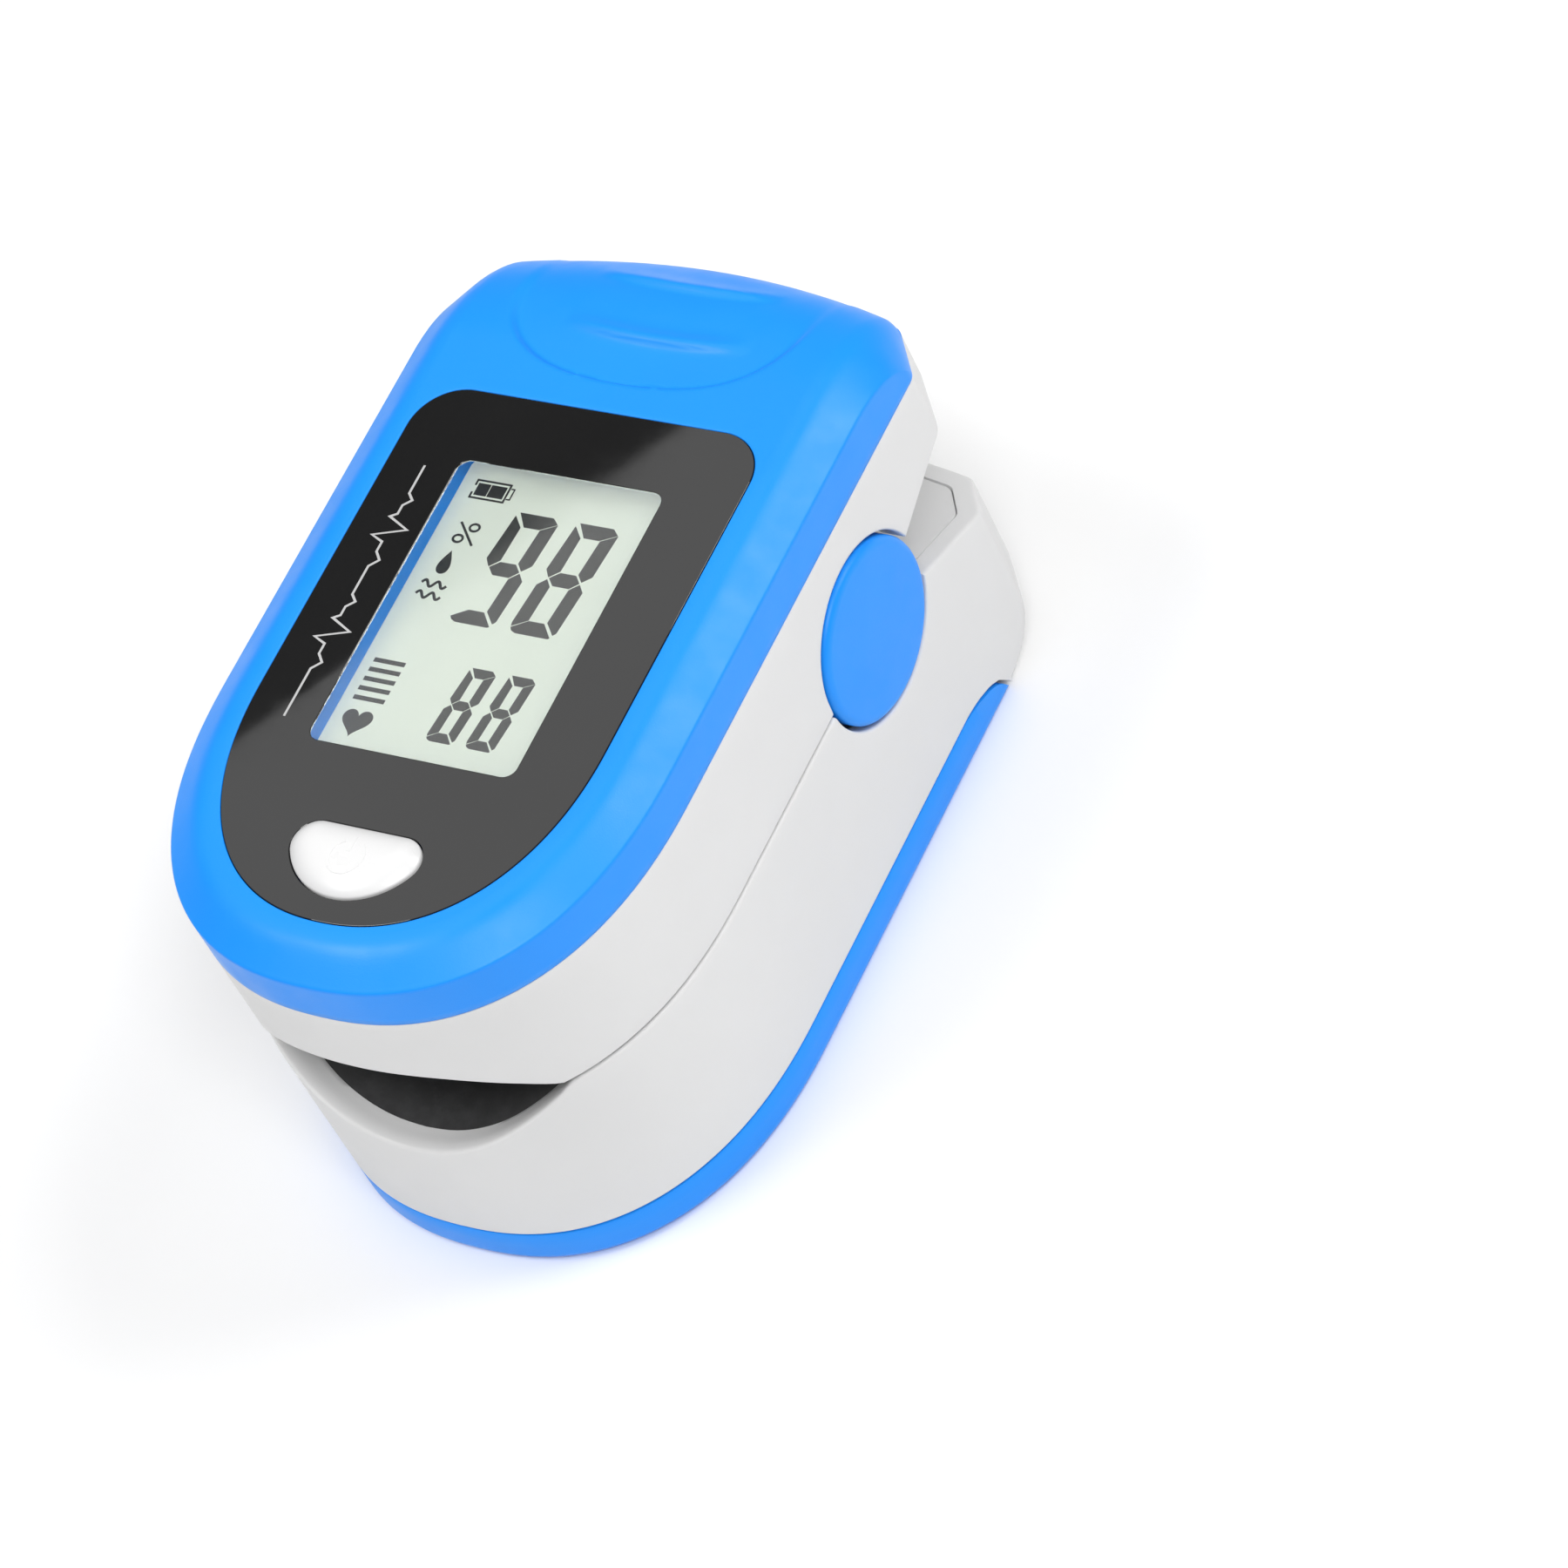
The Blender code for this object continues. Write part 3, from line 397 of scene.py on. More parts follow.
def make_cover():
    body = Body("cover_skin")
    outer = body_ring(0)
    edge_z = with_height(outer)[:, 2]
    step = seam_step(outer)
    edge_z = np.maximum(edge_z, EDGE + 0.12 + step)
    rows = [raised(body_ring(d), EDGE + lift + step) for d, lift in ((1.4, 0), (0.14, 0), (0.04, 0.02))]
    low = EDGE + 0.06 + step
    rows += [raised(outer, low + (edge_z - low) * t) for t in (0, 0.15, 0.35, 0.6, 0.8, 0.92, 1)]
    for d in (0.04, 0.1, 0.2, 0.35, 0.55, 0.8, 1.1, 1.45, 1.8, 2.15, 2.5, 2.9, 3.3):
        row = with_height(body_ring(d))
        row[:, 2] = np.maximum(row[:, 2], edge_z.min() + step + 0.02 * min(d, 1))
        rows.append(row)
    last, panel = body_ring(3.3), panel_ring(-0.15)
    for t in np.linspace(0, 1, 56)[1:]:
        rows.append(with_height(morph(last, panel, t)))
    for inset, z in ((-0.09, TOP - 0.012), (-0.06, TOP - 0.04), (-0.05, TOP - 0.1), (-0.05, POCKET)):
        rows.append(at(panel_ring(inset), z))
    rings = body.strip(rows)
    hollow = [body_ring(d) for d in (1.5, 2.4, 3.3)]
    hollow += [morph(last, panel_ring(-0.05), t) for t in (0.2, 0.4, 0.6, 0.8)]
    inner = body.strip([with_height(ring, 1.35, CEILING) for ring in hollow] + [at(panel_ring(-0.05), CEILING)])
    body.bridge(rings[0], inner[0])
    lcd_room = rect_ring(-9.5, 9.5, -15.4, 11.3, 0.4)
    window = body.strip([at(well_ring(-0.5), POCKET), at(well_ring(-0.5), 32.7), at(well_ring(0), 32.7),
                         at(well_ring(0), 31.5), at(lcd_room, 31.5), at(lcd_room, CEILING)])
    button = body.strip([at(button_ring(-0.12), POCKET), at(button_ring(-0.12), CEILING)])
    body.fill([rings[-1], window[0], button[0]])
    body.fill([inner[-1], window[-1], button[-1]])
    return body.object(50)


# ---- display -------------------------------------------------------------------------------------


def make_panel():
    body = Body("panel_glass")
    outer = body.strip([at(panel_ring(0), PANEL_LOW), at(panel_ring(0), TOP - 0.03),
                        at(panel_ring(0.01), TOP - 0.01), at(panel_ring(0.03), TOP)])
    window = body.strip([at(window_ring(-0.03), TOP), at(window_ring(0), TOP - 0.03),
                         at(window_ring(0), TOP - 0.12), at(well_ring(-0.6), TOP - 0.12),
                         at(well_ring(-0.6), PANEL_LOW)])
    button = body.strip([at(button_ring(-0.12), TOP), at(button_ring(-0.09), TOP - 0.03),
                         at(button_ring(-0.08), TOP - 0.1), at(button_ring(-0.08), PANEL_LOW)])
    body.fill([outer[-1], window[0], button[0]])
    body.fill([outer[0], window[-1], button[-1]])
    return body.object(30)


def make_window():
    body = Body("window_pane")
    body.solid([at(window_ring(0.02), TOP - 0.15), at(window_ring(0.02), TOP - 0.03)])
    return body.object(30)


def make_lcd():
    body = Body("lcd_glass")
    edge = rect_ring(-9.3, 9.3, -15.2, 11.1, 0.3, 4)
    face = rect_ring(-9.2, 9.2, -15.1, 11.0, 0.25, 4)
    body.solid([at(edge, 29.8), at(edge, 31.32), at(face, 31.42)])
    return body.object(30)


class Print:
    """Thin raised shapes on a flat face."""

    def __init__(self, name, low, high):
        self.body, self.low, self.high = Body(name), low, high

    def shape(self, points):
        self.body.solid([at(points, self.low), at(points, self.high)])

    def band(self, points, width):
        """A line of constant width through points, as one shape."""
        p = np.array(points, float)
        n = sideways(np.gradient(p, axis=0)) * width / 2
        self.shape(np.concatenate([p + n, (p - n)[::-1]]))

    def zigzag(self, points, width):
        """A mitred line through sharp corners."""
        p = np.array(points, float)
        n = sideways(np.diff(p, axis=0))
        offsets = [n[0]] + [(a + b) / max(1 + a @ b, 0.35) for a, b in zip(n, n[1:])] + [n[-1]]
        offsets = np.array(offsets) * width / 2
        self.shape(np.concatenate([p + offsets, (p - offsets)[::-1]]))


SEGMENTS = {"8": "abcdefg", "9": "abcdfg"}


def digit(out, value, corner, w, h, s, g):
    """A slanting seven-segment figure of width w and height h, from its lower left corner.

    s is the width of its mitred bars, and g the gap between them."""
    m, k, t = h / 2, s * 0.42, s * 0.5
    slant = 0.085
    shapes = {
        "a": [(0.27 * s, h), (w - 0.6 * s, h), (w - 0.08 * s, h - k), (w - s - 0.08 * s, h - s), (s + g, h - s)],
        "b": [(w - 0.04 * s, h - k - 0.03), (w, m + t + g), (w - t, m + g), (w - s, m + t + g),
              (w - s, h - s - 0.03)],
        "c": [(w, m - t - g), (w - t, m - g * 0.8), (w - s, m - t - g), (w - s, s + g), (w - 0.17 * s, 0.3 * s),
              (w, 0.5 * s)],
        "d": [(0.1 * s, 0.36 * s), (0.26 * s, 0.15 * s), (0.6 * s, 0), (w - 0.36 * s, 0), (w - 0.24 * s, 0.08 * s),
              (w - s - g * 1.6, s), (s + g * 0.3, s)],
        "e": [(0, m - t - g), (0.47 * s, m - g), (s - g * 0.6, m - t - g), (s - g * 0.2, s + 0.03),
              (0.08 * s, k + 0.03), (0, 0.72 * s)],
        "f": [(0.1 * s, h - 0.26 * s), (s - g, h - s - g * 0.6), (s, m + t + g), (0.45 * s, m + 0.05 * s),
              (0, m + t + g)],
        "g": [(t + g * 0.4, m), (s + g * 0.7, m + t), (w - s - g, m + t), (w - t - g * 0.8, m),
              (w - s - g * 0.4, m - t), (s + g * 0.7, m - t)],
    }
    for key in SEGMENTS[value]:
        out.shape([(corner[0] + x + y * slant, corner[1] + y) for x, y in shapes[key]])


def make_segments():
    out = Print("lcd_segments", 31.40, 31.44)
    digit(out, "9", (-3.66, -2.12), 3.5, 8.97, 1.07, 0.1)
    digit(out, "8", (0.93, -2.12), 3.5, 8.97, 1.07, 0.1)
    digit(out, "8", (-0.66, -11.08), 2.16, 5.85, 0.71, 0.055)
    digit(out, "8", (2.34, -11.08), 2.16, 5.85, 0.71, 0.055)
    # the bars of a level meter
    for k in range(5):
        y = -5.83 - 0.743 * k
        out.shape([(-7.15, y), (-4.77, y), (-4.77, y - 0.33), (-7.15, y - 0.33)])
    # battery: a case of thin lines, two full cells and a terminal
    x0, x1, y0, y1, line = -6.93, -4.2, 7.28, 8.82, 0.14
    for a, b, c, d in ((x0, x1, y1 - line, y1), (x0, x1, y0, y0 + line), (x1 - line, x1, y0 + line, y1 - line),
                       (x0, x0 + line, y0 + line, y0 + 0.5), (x0, x0 + line, y1 - 0.5, y1 - line),
                       (x1 + 0.04, x1 + 0.26, y0 + 0.3, y0 + 0.4), (x1 + 0.04, x1 + 0.26, y1 - 0.4, y1 - 0.3),
                       (x1 + 0.26, x1 + 0.36, y0 + 0.3, y1 - 0.3),
                       (x0 + 0.26, -5.72, y0 + 0.29, y1 - 0.29), (-5.65, x1 - 0.26, y0 + 0.29, y1 - 0.29)):
        out.shape([(a, d), (b, d), (b, c), (a, c)])
    # a heart
    t = np.linspace(0, 2 * math.pi, 48, endpoint=False)
    hx = 16 * np.sin(t) ** 3
    hy = 13 * np.cos(t) - 5 * np.cos(2 * t) - 2 * np.cos(3 * t) - np.cos(4 * t)
    out.shape([(-6.03 + x * 0.07, -10.73 + y * 0.0716) for x, y in zip(hx, hy)])
    # a drop and two small waves below the percent sign
    t = np.linspace(0, 2 * math.pi, 40, endpoint=False)
    out.shape([(-5.95 + 0.66 * math.sin(a) * math.sin(a / 2) ** 1.4, 2.15 + 0.95 * math.cos(a)) for a in t])
    for y in (0.35, -0.55):
        x = np.linspace(-6.85, -4.95, 28)
        out.band(np.stack([x, y + 0.24 * np.sin((x + 6.85) / 1.9 * 4 * math.pi)], 1), 0.2)
    # a percent sign
    around = np.linspace(0, 2 * math.pi, 33)
    for cx, cy in ((-5.24, 5.08), (-6.02, 4.07)):
        ring = [(cx + 0.44 * math.cos(a), cy + 0.37 * math.sin(a)) for a in around]
        hole = [(cx + 0.27 * math.cos(a), cy + 0.2 * math.sin(a)) for a in around]
        out.shape(ring[:17] + hole[:17][::-1])
        out.shape(ring[16:] + hole[16:][::-1])
    out.band([(-6.4, 5.36), (-4.76, 3.7)], 0.17)
    return out.body.object(20)


def make_marks():
    """A generic pulse trace printed along the panel's left band."""
    out = Print("panel_trace", TOP - 0.01, TOP + 0.012)
    x = -10.15
    path = [(0, 8.2), (0, 5.9), (0.5, 5.4), (0, 4.9), (0, 4.2), (-0.45, 3.9), (1.3, 3.1), (-1.0, 2.3), (0, 1.9),
            (0, 1.1), (0.55, 0.5), (0, -0.1), (0, -2.4), (0.5, -2.9), (0, -3.4), (0, -4.1), (-0.45, -4.4),
            (1.3, -5.2), (-1.0, -6.0), (0, -6.4), (0, -7.2), (0.55, -7.8), (0, -8.4), (0, -12.2)]
    out.zigzag([(x + dx, y) for dx, y in path], 0.17)
    return out.body.object(20)


def button_height(p):
    d = segment_distance(p, np.concatenate([button_ring(0), button_ring(0)[:1]]))
    return 33.65 - 0.68 * np.clip(1 - d / 2.2, 0, 1) ** 3


def make_button():
    body = Body("button_cap")
    rows = [at(button_ring(-0.4), 30.3), at(button_ring(-0.4), 30.75), at(button_ring(0.0), 30.8),
            at(button_ring(0.0), 32.9)]
    for d in (0.03, 0.1, 0.2, 0.35, 0.55, 0.8, 1.1, 1.45, 1.8, 2.15):
        ring = button_ring(d)
        rows.append(raised(ring, button_height(ring)))
    body.solid(rows)
    # the raised power sign: an open ring and a bar
    y, r = -21.55, 1.22
    t = np.radians(np.linspace(118, 422, 60))
    for xs, ys in ((r * np.cos(t), y + r * np.sin(t)), (np.zeros(12), np.linspace(y + 0.35, y + 1.5, 12))):
        p = np.stack([xs, ys], 1)
        n = sideways(np.gradient(p, axis=0))
        rows = []
        for side, lift in ((-0.15, -0.05), (-0.13, 0.025), (0.13, 0.025), (0.15, -0.05)):
            q = p + n * side
            rows.append(raised(q, button_height(q) + lift))
        rings = body.strip(rows, closed=False)
        body.bridge(rings[-1], rings[0], closed=False)
        body.cap([r[0] for r in rings])
        body.cap([r[-1] for r in rings])
    return body.object(40)


# ---- shells --------------------------------------------------------------------------------------

LOWER_LIP = curve([(0, 12.6), (2.4, 12.86), (4.3, 13.36), (6.5, 14.2), (8.5, 15.25), (10.0, 16.15), (11.0, 16.8),
                   (11.9, 17.5)])
UPPER_LIP = curve([(0, 22.05), (2.2, 22.03), (4.1, 21.9), (6.7, 21.25), (8.9, 20.1), (10.2, 19.15), (11.0, 18.42),
                   (11.65, 17.8)])


def lower_slope(y):
    """Height of the slope behind the pivot that the tray lies on."""
    return SLOPE_Z - LOWER_SLOPE * (y - PIVOT_Y)


def notch(x, y):
    """Where the notch round a pivot cap is, and half its height there."""
    near = (np.abs(y - PIVOT_Y) < NOTCH_R) & (x > 14.0)
    return near, np.sqrt(np.maximum(NOTCH_R**2 - (y - PIVOT_Y) ** 2, 0))


def upper_bottom(p):
    x, y = np.abs(p[:, 0]), p[:, 1]
    z = UPPER_SEAM + UPPER_SLOPE * np.maximum(y - PIVOT_Y, 0)
    z = np.where(y < 0, np.maximum(z, np.interp(x, *UPPER_LIP)), z)
    near, half = notch(x, y)
    return np.where(near, np.maximum(z, PIVOT_Z + half), z)


def lower_top(p):
    x, y = np.abs(p[:, 0]), p[:, 1]
    z = np.minimum(LOWER_SEAM, lower_slope(y))
    z = np.where(y < 0, np.minimum(z, np.interp(x, *LOWER_LIP)), z)
    near, half = notch(x, y)
    return np.where(near, np.minimum(z, PIVOT_Z - half), z)


ROUND = ((0.0, 0.3), (0.02, 0.17), (0.08, 0.07), (0.18, 0.015), (0.32, 0.0))  # (inset, drop) of a rounded edge
CASE_TOP, CASE_LEDGE = 27.78, 27.55  # the upper case's rim, and the ledge inside it


def make_upper_shell():
    body = Body("upper_shell")
    rows = [raised(body_ring(inset), upper_bottom(body_ring(inset)) + lift) for inset, lift in ROUND[::-1]]
    outer, inner = body_ring(0), body_ring(2.0)
    low, step = upper_bottom(outer) + 0.3, seam_step(outer)
    for t in np.linspace(0, 1, 9)[1:]:
        rows.append(raised(outer, low + (27.72 + step - low) * t))
    for inset, z in ((0.02, 27.76), (0.08, CASE_TOP), (0.6, CASE_TOP)):
        rows.append(raised(body_ring(inset), z + step))
    rows += [at(body_ring(0.7), CASE_LEDGE), at(inner, CASE_LEDGE)]
    low = upper_bottom(inner) + 0.2
    for t in (0.3, 0.65, 1.0):
        rows.append(raised(inner, CASE_LEDGE + (low - CASE_LEDGE) * t))
    for inset, lift in ((1.95, 0.05), (1.8, 0.0)):
        rows.append(raised(body_ring(inset), upper_bottom(body_ring(inset)) + lift))
    body.strip(rows, cycle=True)
    return body.object(42)


# the battery door's rear edge seen from the side, as (y, z), and the case's edge behind it
DOOR_REAR = np.array([(14.8, 3.2), (15.8, 3.08), (16.6, 2.92), (17.9, 2.5), (18.8, 2.0), (19.4, 1.4), (19.8, 0.7),
                      (20.2, 0.0)])
SPLIT_Y = 20.45


def tail_height(p):
    """The underside of the pinch end: it curves up to the back and has small side edges."""
    def edge(d, r):
        s = np.clip((r - d) / r, 0, 1)
        return r * (1 - np.sqrt(np.maximum(1 - s**2, 0)))
    side = HALF_W - np.abs(p[:, 0])
    return (edge(side, 1.2) ** 4 + edge(back_distance(p, 0.9), TAIL_R) ** 4) ** 0.25


def boolean(obj, cutter, operation, sharp):
    """Applies one Boolean and keeps the smooth shading."""
    modifier = obj.modifiers.new("cut", "BOOLEAN")
    modifier.operation, modifier.object, modifier.solver = operation, cutter, "EXACT"
    bpy.context.view_layer.update()
    obj.data = bpy.data.meshes.new_from_object(obj.evaluated_get(bpy.context.evaluated_depsgraph_get()))
    obj.modifiers.clear()
    bpy.data.objects.remove(cutter)
    obj.data.set_sharp_from_angle(angle=math.radians(sharp))
    return obj


def capsule(half_w, radius):
    """A slot's outline, round at both ends."""
    right = [(half_w - radius + radius * math.cos(a), radius * math.sin(a))
             for a in np.linspace(-math.pi / 2, math.pi / 2, 12)]
    return right + [(-x, -z) for x, z in right]


def make_lower_shell():
    """One ring of rows round the wall's section: outside, underside, inside and the rim.

    Behind the door the wall runs on as the underside of the pinch end. At the mouth the rim drops inwards."""
    body = Body("lower_shell")
    outer, inner = body_ring(0), body_ring(1.4)
    rear = outer[:, 1] > SPLIT_Y
    arc = np.interp(outer[:, 1], DOOR_REAR[:, 0] + 0.25, DOOR_REAR[:, 1] + 0.25)
    low = np.where(rear, np.maximum(tail_height(outer), 0.9), np.minimum(arc, 3.45))
    low = np.where(rear, np.minimum(low, TAIL_R), low)
    mouth = smooth((-4 - outer[:, 1]) / 8)
    rows = [raised(body_ring(inset), lower_top(body_ring(inset)) - drop) for inset, drop in ROUND[::-1]]
    high = lower_top(outer) - 0.3
    for t in np.linspace(0, 1, 12)[1:]:
        rows.append(raised(outer, high + (low - high) * t))
    ledge_x = np.sign(outer[:, 0]) * np.minimum(np.abs(outer[:, 0]) * 0.906, 15.4)
    target = np.where(rear[:, None], np.stack([ledge_x, np.full(COUNT, SPLIT_Y)], 1), inner)
    for q in (0.006, 0.02, 0.045, 0.08, 0.13, 0.2, 0.3, 0.42, 0.6, 0.8, 1.0):
        p = outer + (target - outer) * q
        rows.append(raised(p, np.where(rear, tail_height(p), low)))
    rows.append(raised(target, np.where(rear, 1.3, low + 0.4)))
    for q, z in ((0.35, 1.5), (0.7, 2.2), (1.0, 5.0)):
        p = np.where(rear[:, None], target + (inner - target) * q, inner)
        rows.append(raised(p, np.where(rear, z, low + 0.4 + q * 1.5)))
    base = rows[-1][:, 2]
    thick = morph(body_ring(1.5), body_ring(2.12), mouth[:, None])
    thick_top = morph(body_ring(1.42), body_ring(2.04), mouth[:, None])
    top = lower_top(thick) - 0.2 - 0.4 * mouth
    for t in (0.5, 1.0):
        rows.append(raised(inner + (thick - inner) * t, base + (top - base) * t))
    rows.append(raised(thick_top, lower_top(thick_top) - 0.04 - 0.4 * mouth))
    for t in (0.8, 0.6, 0.4, 0.2):
        ring = morph(body_ring(0.32), thick_top, t)
        rows.append(raised(ring, lower_top(ring) - 0.38 * mouth * smooth((t - 0.1) / 0.9) - 0.02 * t))
    body.strip(rows, cycle=True)
    shell = body.object(42)
    slot_z = 9.4
    slot = Body("slot_cutter")
    slot.solid([[(x * k, y, slot_z + z * k) for x, z in capsule(2.05, 1.15)]
                for y, k in ((30.6, 1.4), (29.95, 1.22), (29.7, 1.08), (29.4, 1.0), (25.0, 1.0))])
    return boolean(shell, slot.object(), "DIFFERENCE", 42)


def turned(name, side, profile, steps, sharp):
    """A piece turned round the jaw hinge, from its (radius, distance from the middle) profile."""
    body = Body(name)
    t = np.linspace(0, 2 * math.pi, steps, endpoint=False)
    body.solid([[(side * x, PIVOT_Y + r * math.cos(a), PIVOT_Z + r * math.sin(a)) for a in t]
                for r, x in profile])
    return body.object(sharp)


def make_knuckle(side, word):
    profile = ((CAP_R - 0.2, 13.3), (CAP_R - 0.06, 13.36), (CAP_R, 13.5), (CAP_R, 15.3), (CAP_R - 0.15, 15.45))
    return turned("lower_knuckle_" + word, side, profile, 96, 42)


# ---- frames and pads -----------------------------------------------------------------------------


def trough(name, xs, top, thickness, inset, y_end, hole):
    """A bent sheet over the channel, from the front outline back to y_end, with a hole for the sensor.

    top takes the depth from the front edge."""
    front, normal = half_front(HALF_W, SIDE_FRONT, FRONT, FRONT_POWER, 160)
    line = (front - normal * inset)[::-1]
    y0 = np.interp(np.abs(xs), line[:, 0], line[:, 1])
    body = Body(name)
    grid = []
    for t in np.linspace(0, 1, 40) ** 1.6:
        y = y0 + (y_end - y0) * t
        z = top(y - y0)
        under = np.column_stack([xs, y, z - thickness])
        grid.append(np.concatenate([np.column_stack([xs, y, z]), under[::-1]]))
    body.solid(grid)
    sheet = body.object(40)
    cutter = Body("hole")
    cutter.solid([at(hole, 8), at(hole, 16)])
    return boolean(sheet, cutter.object(), "DIFFERENCE", 40)


def make_lower_pad():
    xs = np.linspace(-10.6, 10.6, 61)
    lip = np.interp(np.abs(xs), *LOWER_LIP)
    return trough("lower_pad_skin", xs, lambda depth: lip - 0.46 + 0.1 * smooth(depth / 2.6), 0.55, 1.98, 3.3,
                  rect_ring(-2.9, 2.9, -10.9, -5.1, 0.8, 6))


def make_lower_frame():
    """It lies below the pad, and stands up beside it."""
    xs = np.concatenate([np.linspace(-14.9, -10.9, 14), np.linspace(-10.6, 10.6, 61), np.linspace(10.9, 14.9, 14)])
    drop = np.interp(np.abs(xs), [0, 10.62, 10.9, 11.6, 12.2, 16], [-1.42, -1.42, -0.75, -0.35, -0.3, -0.3])
    z = np.minimum(np.interp(np.abs(xs), *LOWER_LIP), LOWER_SEAM) + drop
    return trough("lower_frame_skin", xs, lambda depth: z, 0.7, 2.0, 4.5, rect_ring(-2.3, 2.3, -10.3, -5.7, 0.3, 4))


def make_tray():
    """The tray in the gap between the jaws, on the slope, with a thumb recess that has a floor."""
    ring = body_ring(1.56)
    back = ring[ring[:, 1] > 18.5]
    right, left = back[back[:, 0] >= 0], back[back[:, 0] < 0]
    front = [(15.44, 18.4), (10.5, 18.4), (10.3, 18.2), (10.3, 17.2)]
    front += [(-x, y) for x, y in front[::-1]]
    outline = [tuple(p) for p in right] + front + [tuple(p) for p in left]
    body = Body("tray_skin")
    rim = ((0.0, 1.25), (0.0, 0.16), (0.03, 0.09), (0.1, 0.06))
    body.solid([[(x * (1 - shrink / 15), y + (shrink if y < 19 else -shrink), lower_slope(y) - drop)
                 for x, y in outline] for shrink, drop in rim])
    tray = body.object(30)
    cup = Body("cup")
    loop = rect_ring(-5.2, 4.2, 21.4, 27.9, 0.25, 4)
    cup.solid([[(x, y, lower_slope(y) - drop) for x, y in loop] for drop in (2.5, 0.6)])
    tray = boolean(tray, cup.object(), "UNION", 30)
    bowl = Body("bowl")
    t = np.linspace(math.pi, 2 * math.pi, 33)
    middle, half_w, length = (-0.6, 28.0), 3.0, 5.2
    rows = []
    for k, drop in ((1.3, -1.2), (1.1, -0.05), (1.04, 0.1), (1.0, 0.34), (0.96, 0.8), (0.9, 1.2), (0.8, 1.5),
                    (0.64, 1.65)):
        arc = [(middle[0] + half_w * k * math.cos(a), middle[1] + length * k * math.sin(a)) for a in t]
        rows.append([(x, y, lower_slope(y) - drop) for x, y in [(arc[0][0], 30.0)] + arc + [(arc[-1][0], 30.0)]])
    bowl.solid(rows)
    return boolean(tray, bowl.object(), "DIFFERENCE", 30)


WALLS = {  # low and high corners
    "finger stop": ((-9.9, 3.5, 12.0), (9.9, 4.5, 17.2)),
    "floor below the spring": ((-9.9, 4.0, 11.9), (9.9, 18.8, 12.6)),
    "wall behind the spring": ((-9.9, 17.75, 12.0), (9.9, 18.8, 15.2)),
    "end of the battery bay": ((-14.8, 22.1, 0.8), (14.8, 23.4, 12.3)),
    "boss behind the lanyard slot": ((-4.4, 23.3, 5.0), (4.4, 28.1, 10.35)),
}


def make_hinge_walls():
    body = Body("hinge_bay")
    for (x0, y0, z0), (x1, y1, z1) in WALLS.values():
        loop = rect_ring(x0, x1, y0, y1, 0.25, 4)
        body.solid([at(loop, z0), at(loop, z1)])
    return body.object(30)


def make_door():
    body = Body("door_skin")
    corner = 0.95
    rows = [at(body_ring(inset), z) for inset, z in ((corner, 0.75), (corner, 3.05), (0.85, 3.17), (0.72, 3.2),
                                                     (0.2, 3.2), (0.06, 3.15), (0, 3.02), (0, 2.0))]
    for t in np.linspace(0, math.pi / 2, 9):
        rows.append(at(body_ring(corner * (1 - math.cos(t))), corner * (1 - math.sin(t))))
    body.solid(rows)
    door = body.object(35)
    side = [(-40, -5), (20.2, -5)] + [tuple(p) for p in DOOR_REAR[::-1]] + [(14.8, 6), (-40, 6)]
    cutter = Body("door_side")
    cutter.solid([[(x, y, z) for y, z in side] for x in (-30, 30)])
    return boolean(door, cutter.object(), "INTERSECT", 35)


def make_cap(side, word):
    """A disc with a rounded rim and a slightly crowned face."""
    face_r = CAP_R - 0.62
    profile = [(CAP_R - 0.1, 15.6), (CAP_R, 15.75), (CAP_R, 16.75)]
    profile += [(CAP_R - 0.62 * (1 - math.cos(a)), 16.75 + 0.5 * math.sin(a))
                for a in np.linspace(0.15, math.pi / 2, 8)]
    profile += [(r, 17.25 + 0.15 * (1 - (r / face_r) ** 2)) for r in (5.0, 4.0, 3.0, 2.0, 1.0, 0.3)]
    return turned("pivot_disc_" + word, side, profile, 128, 40)


# ---- materials -----------------------------------------------------------------------------------


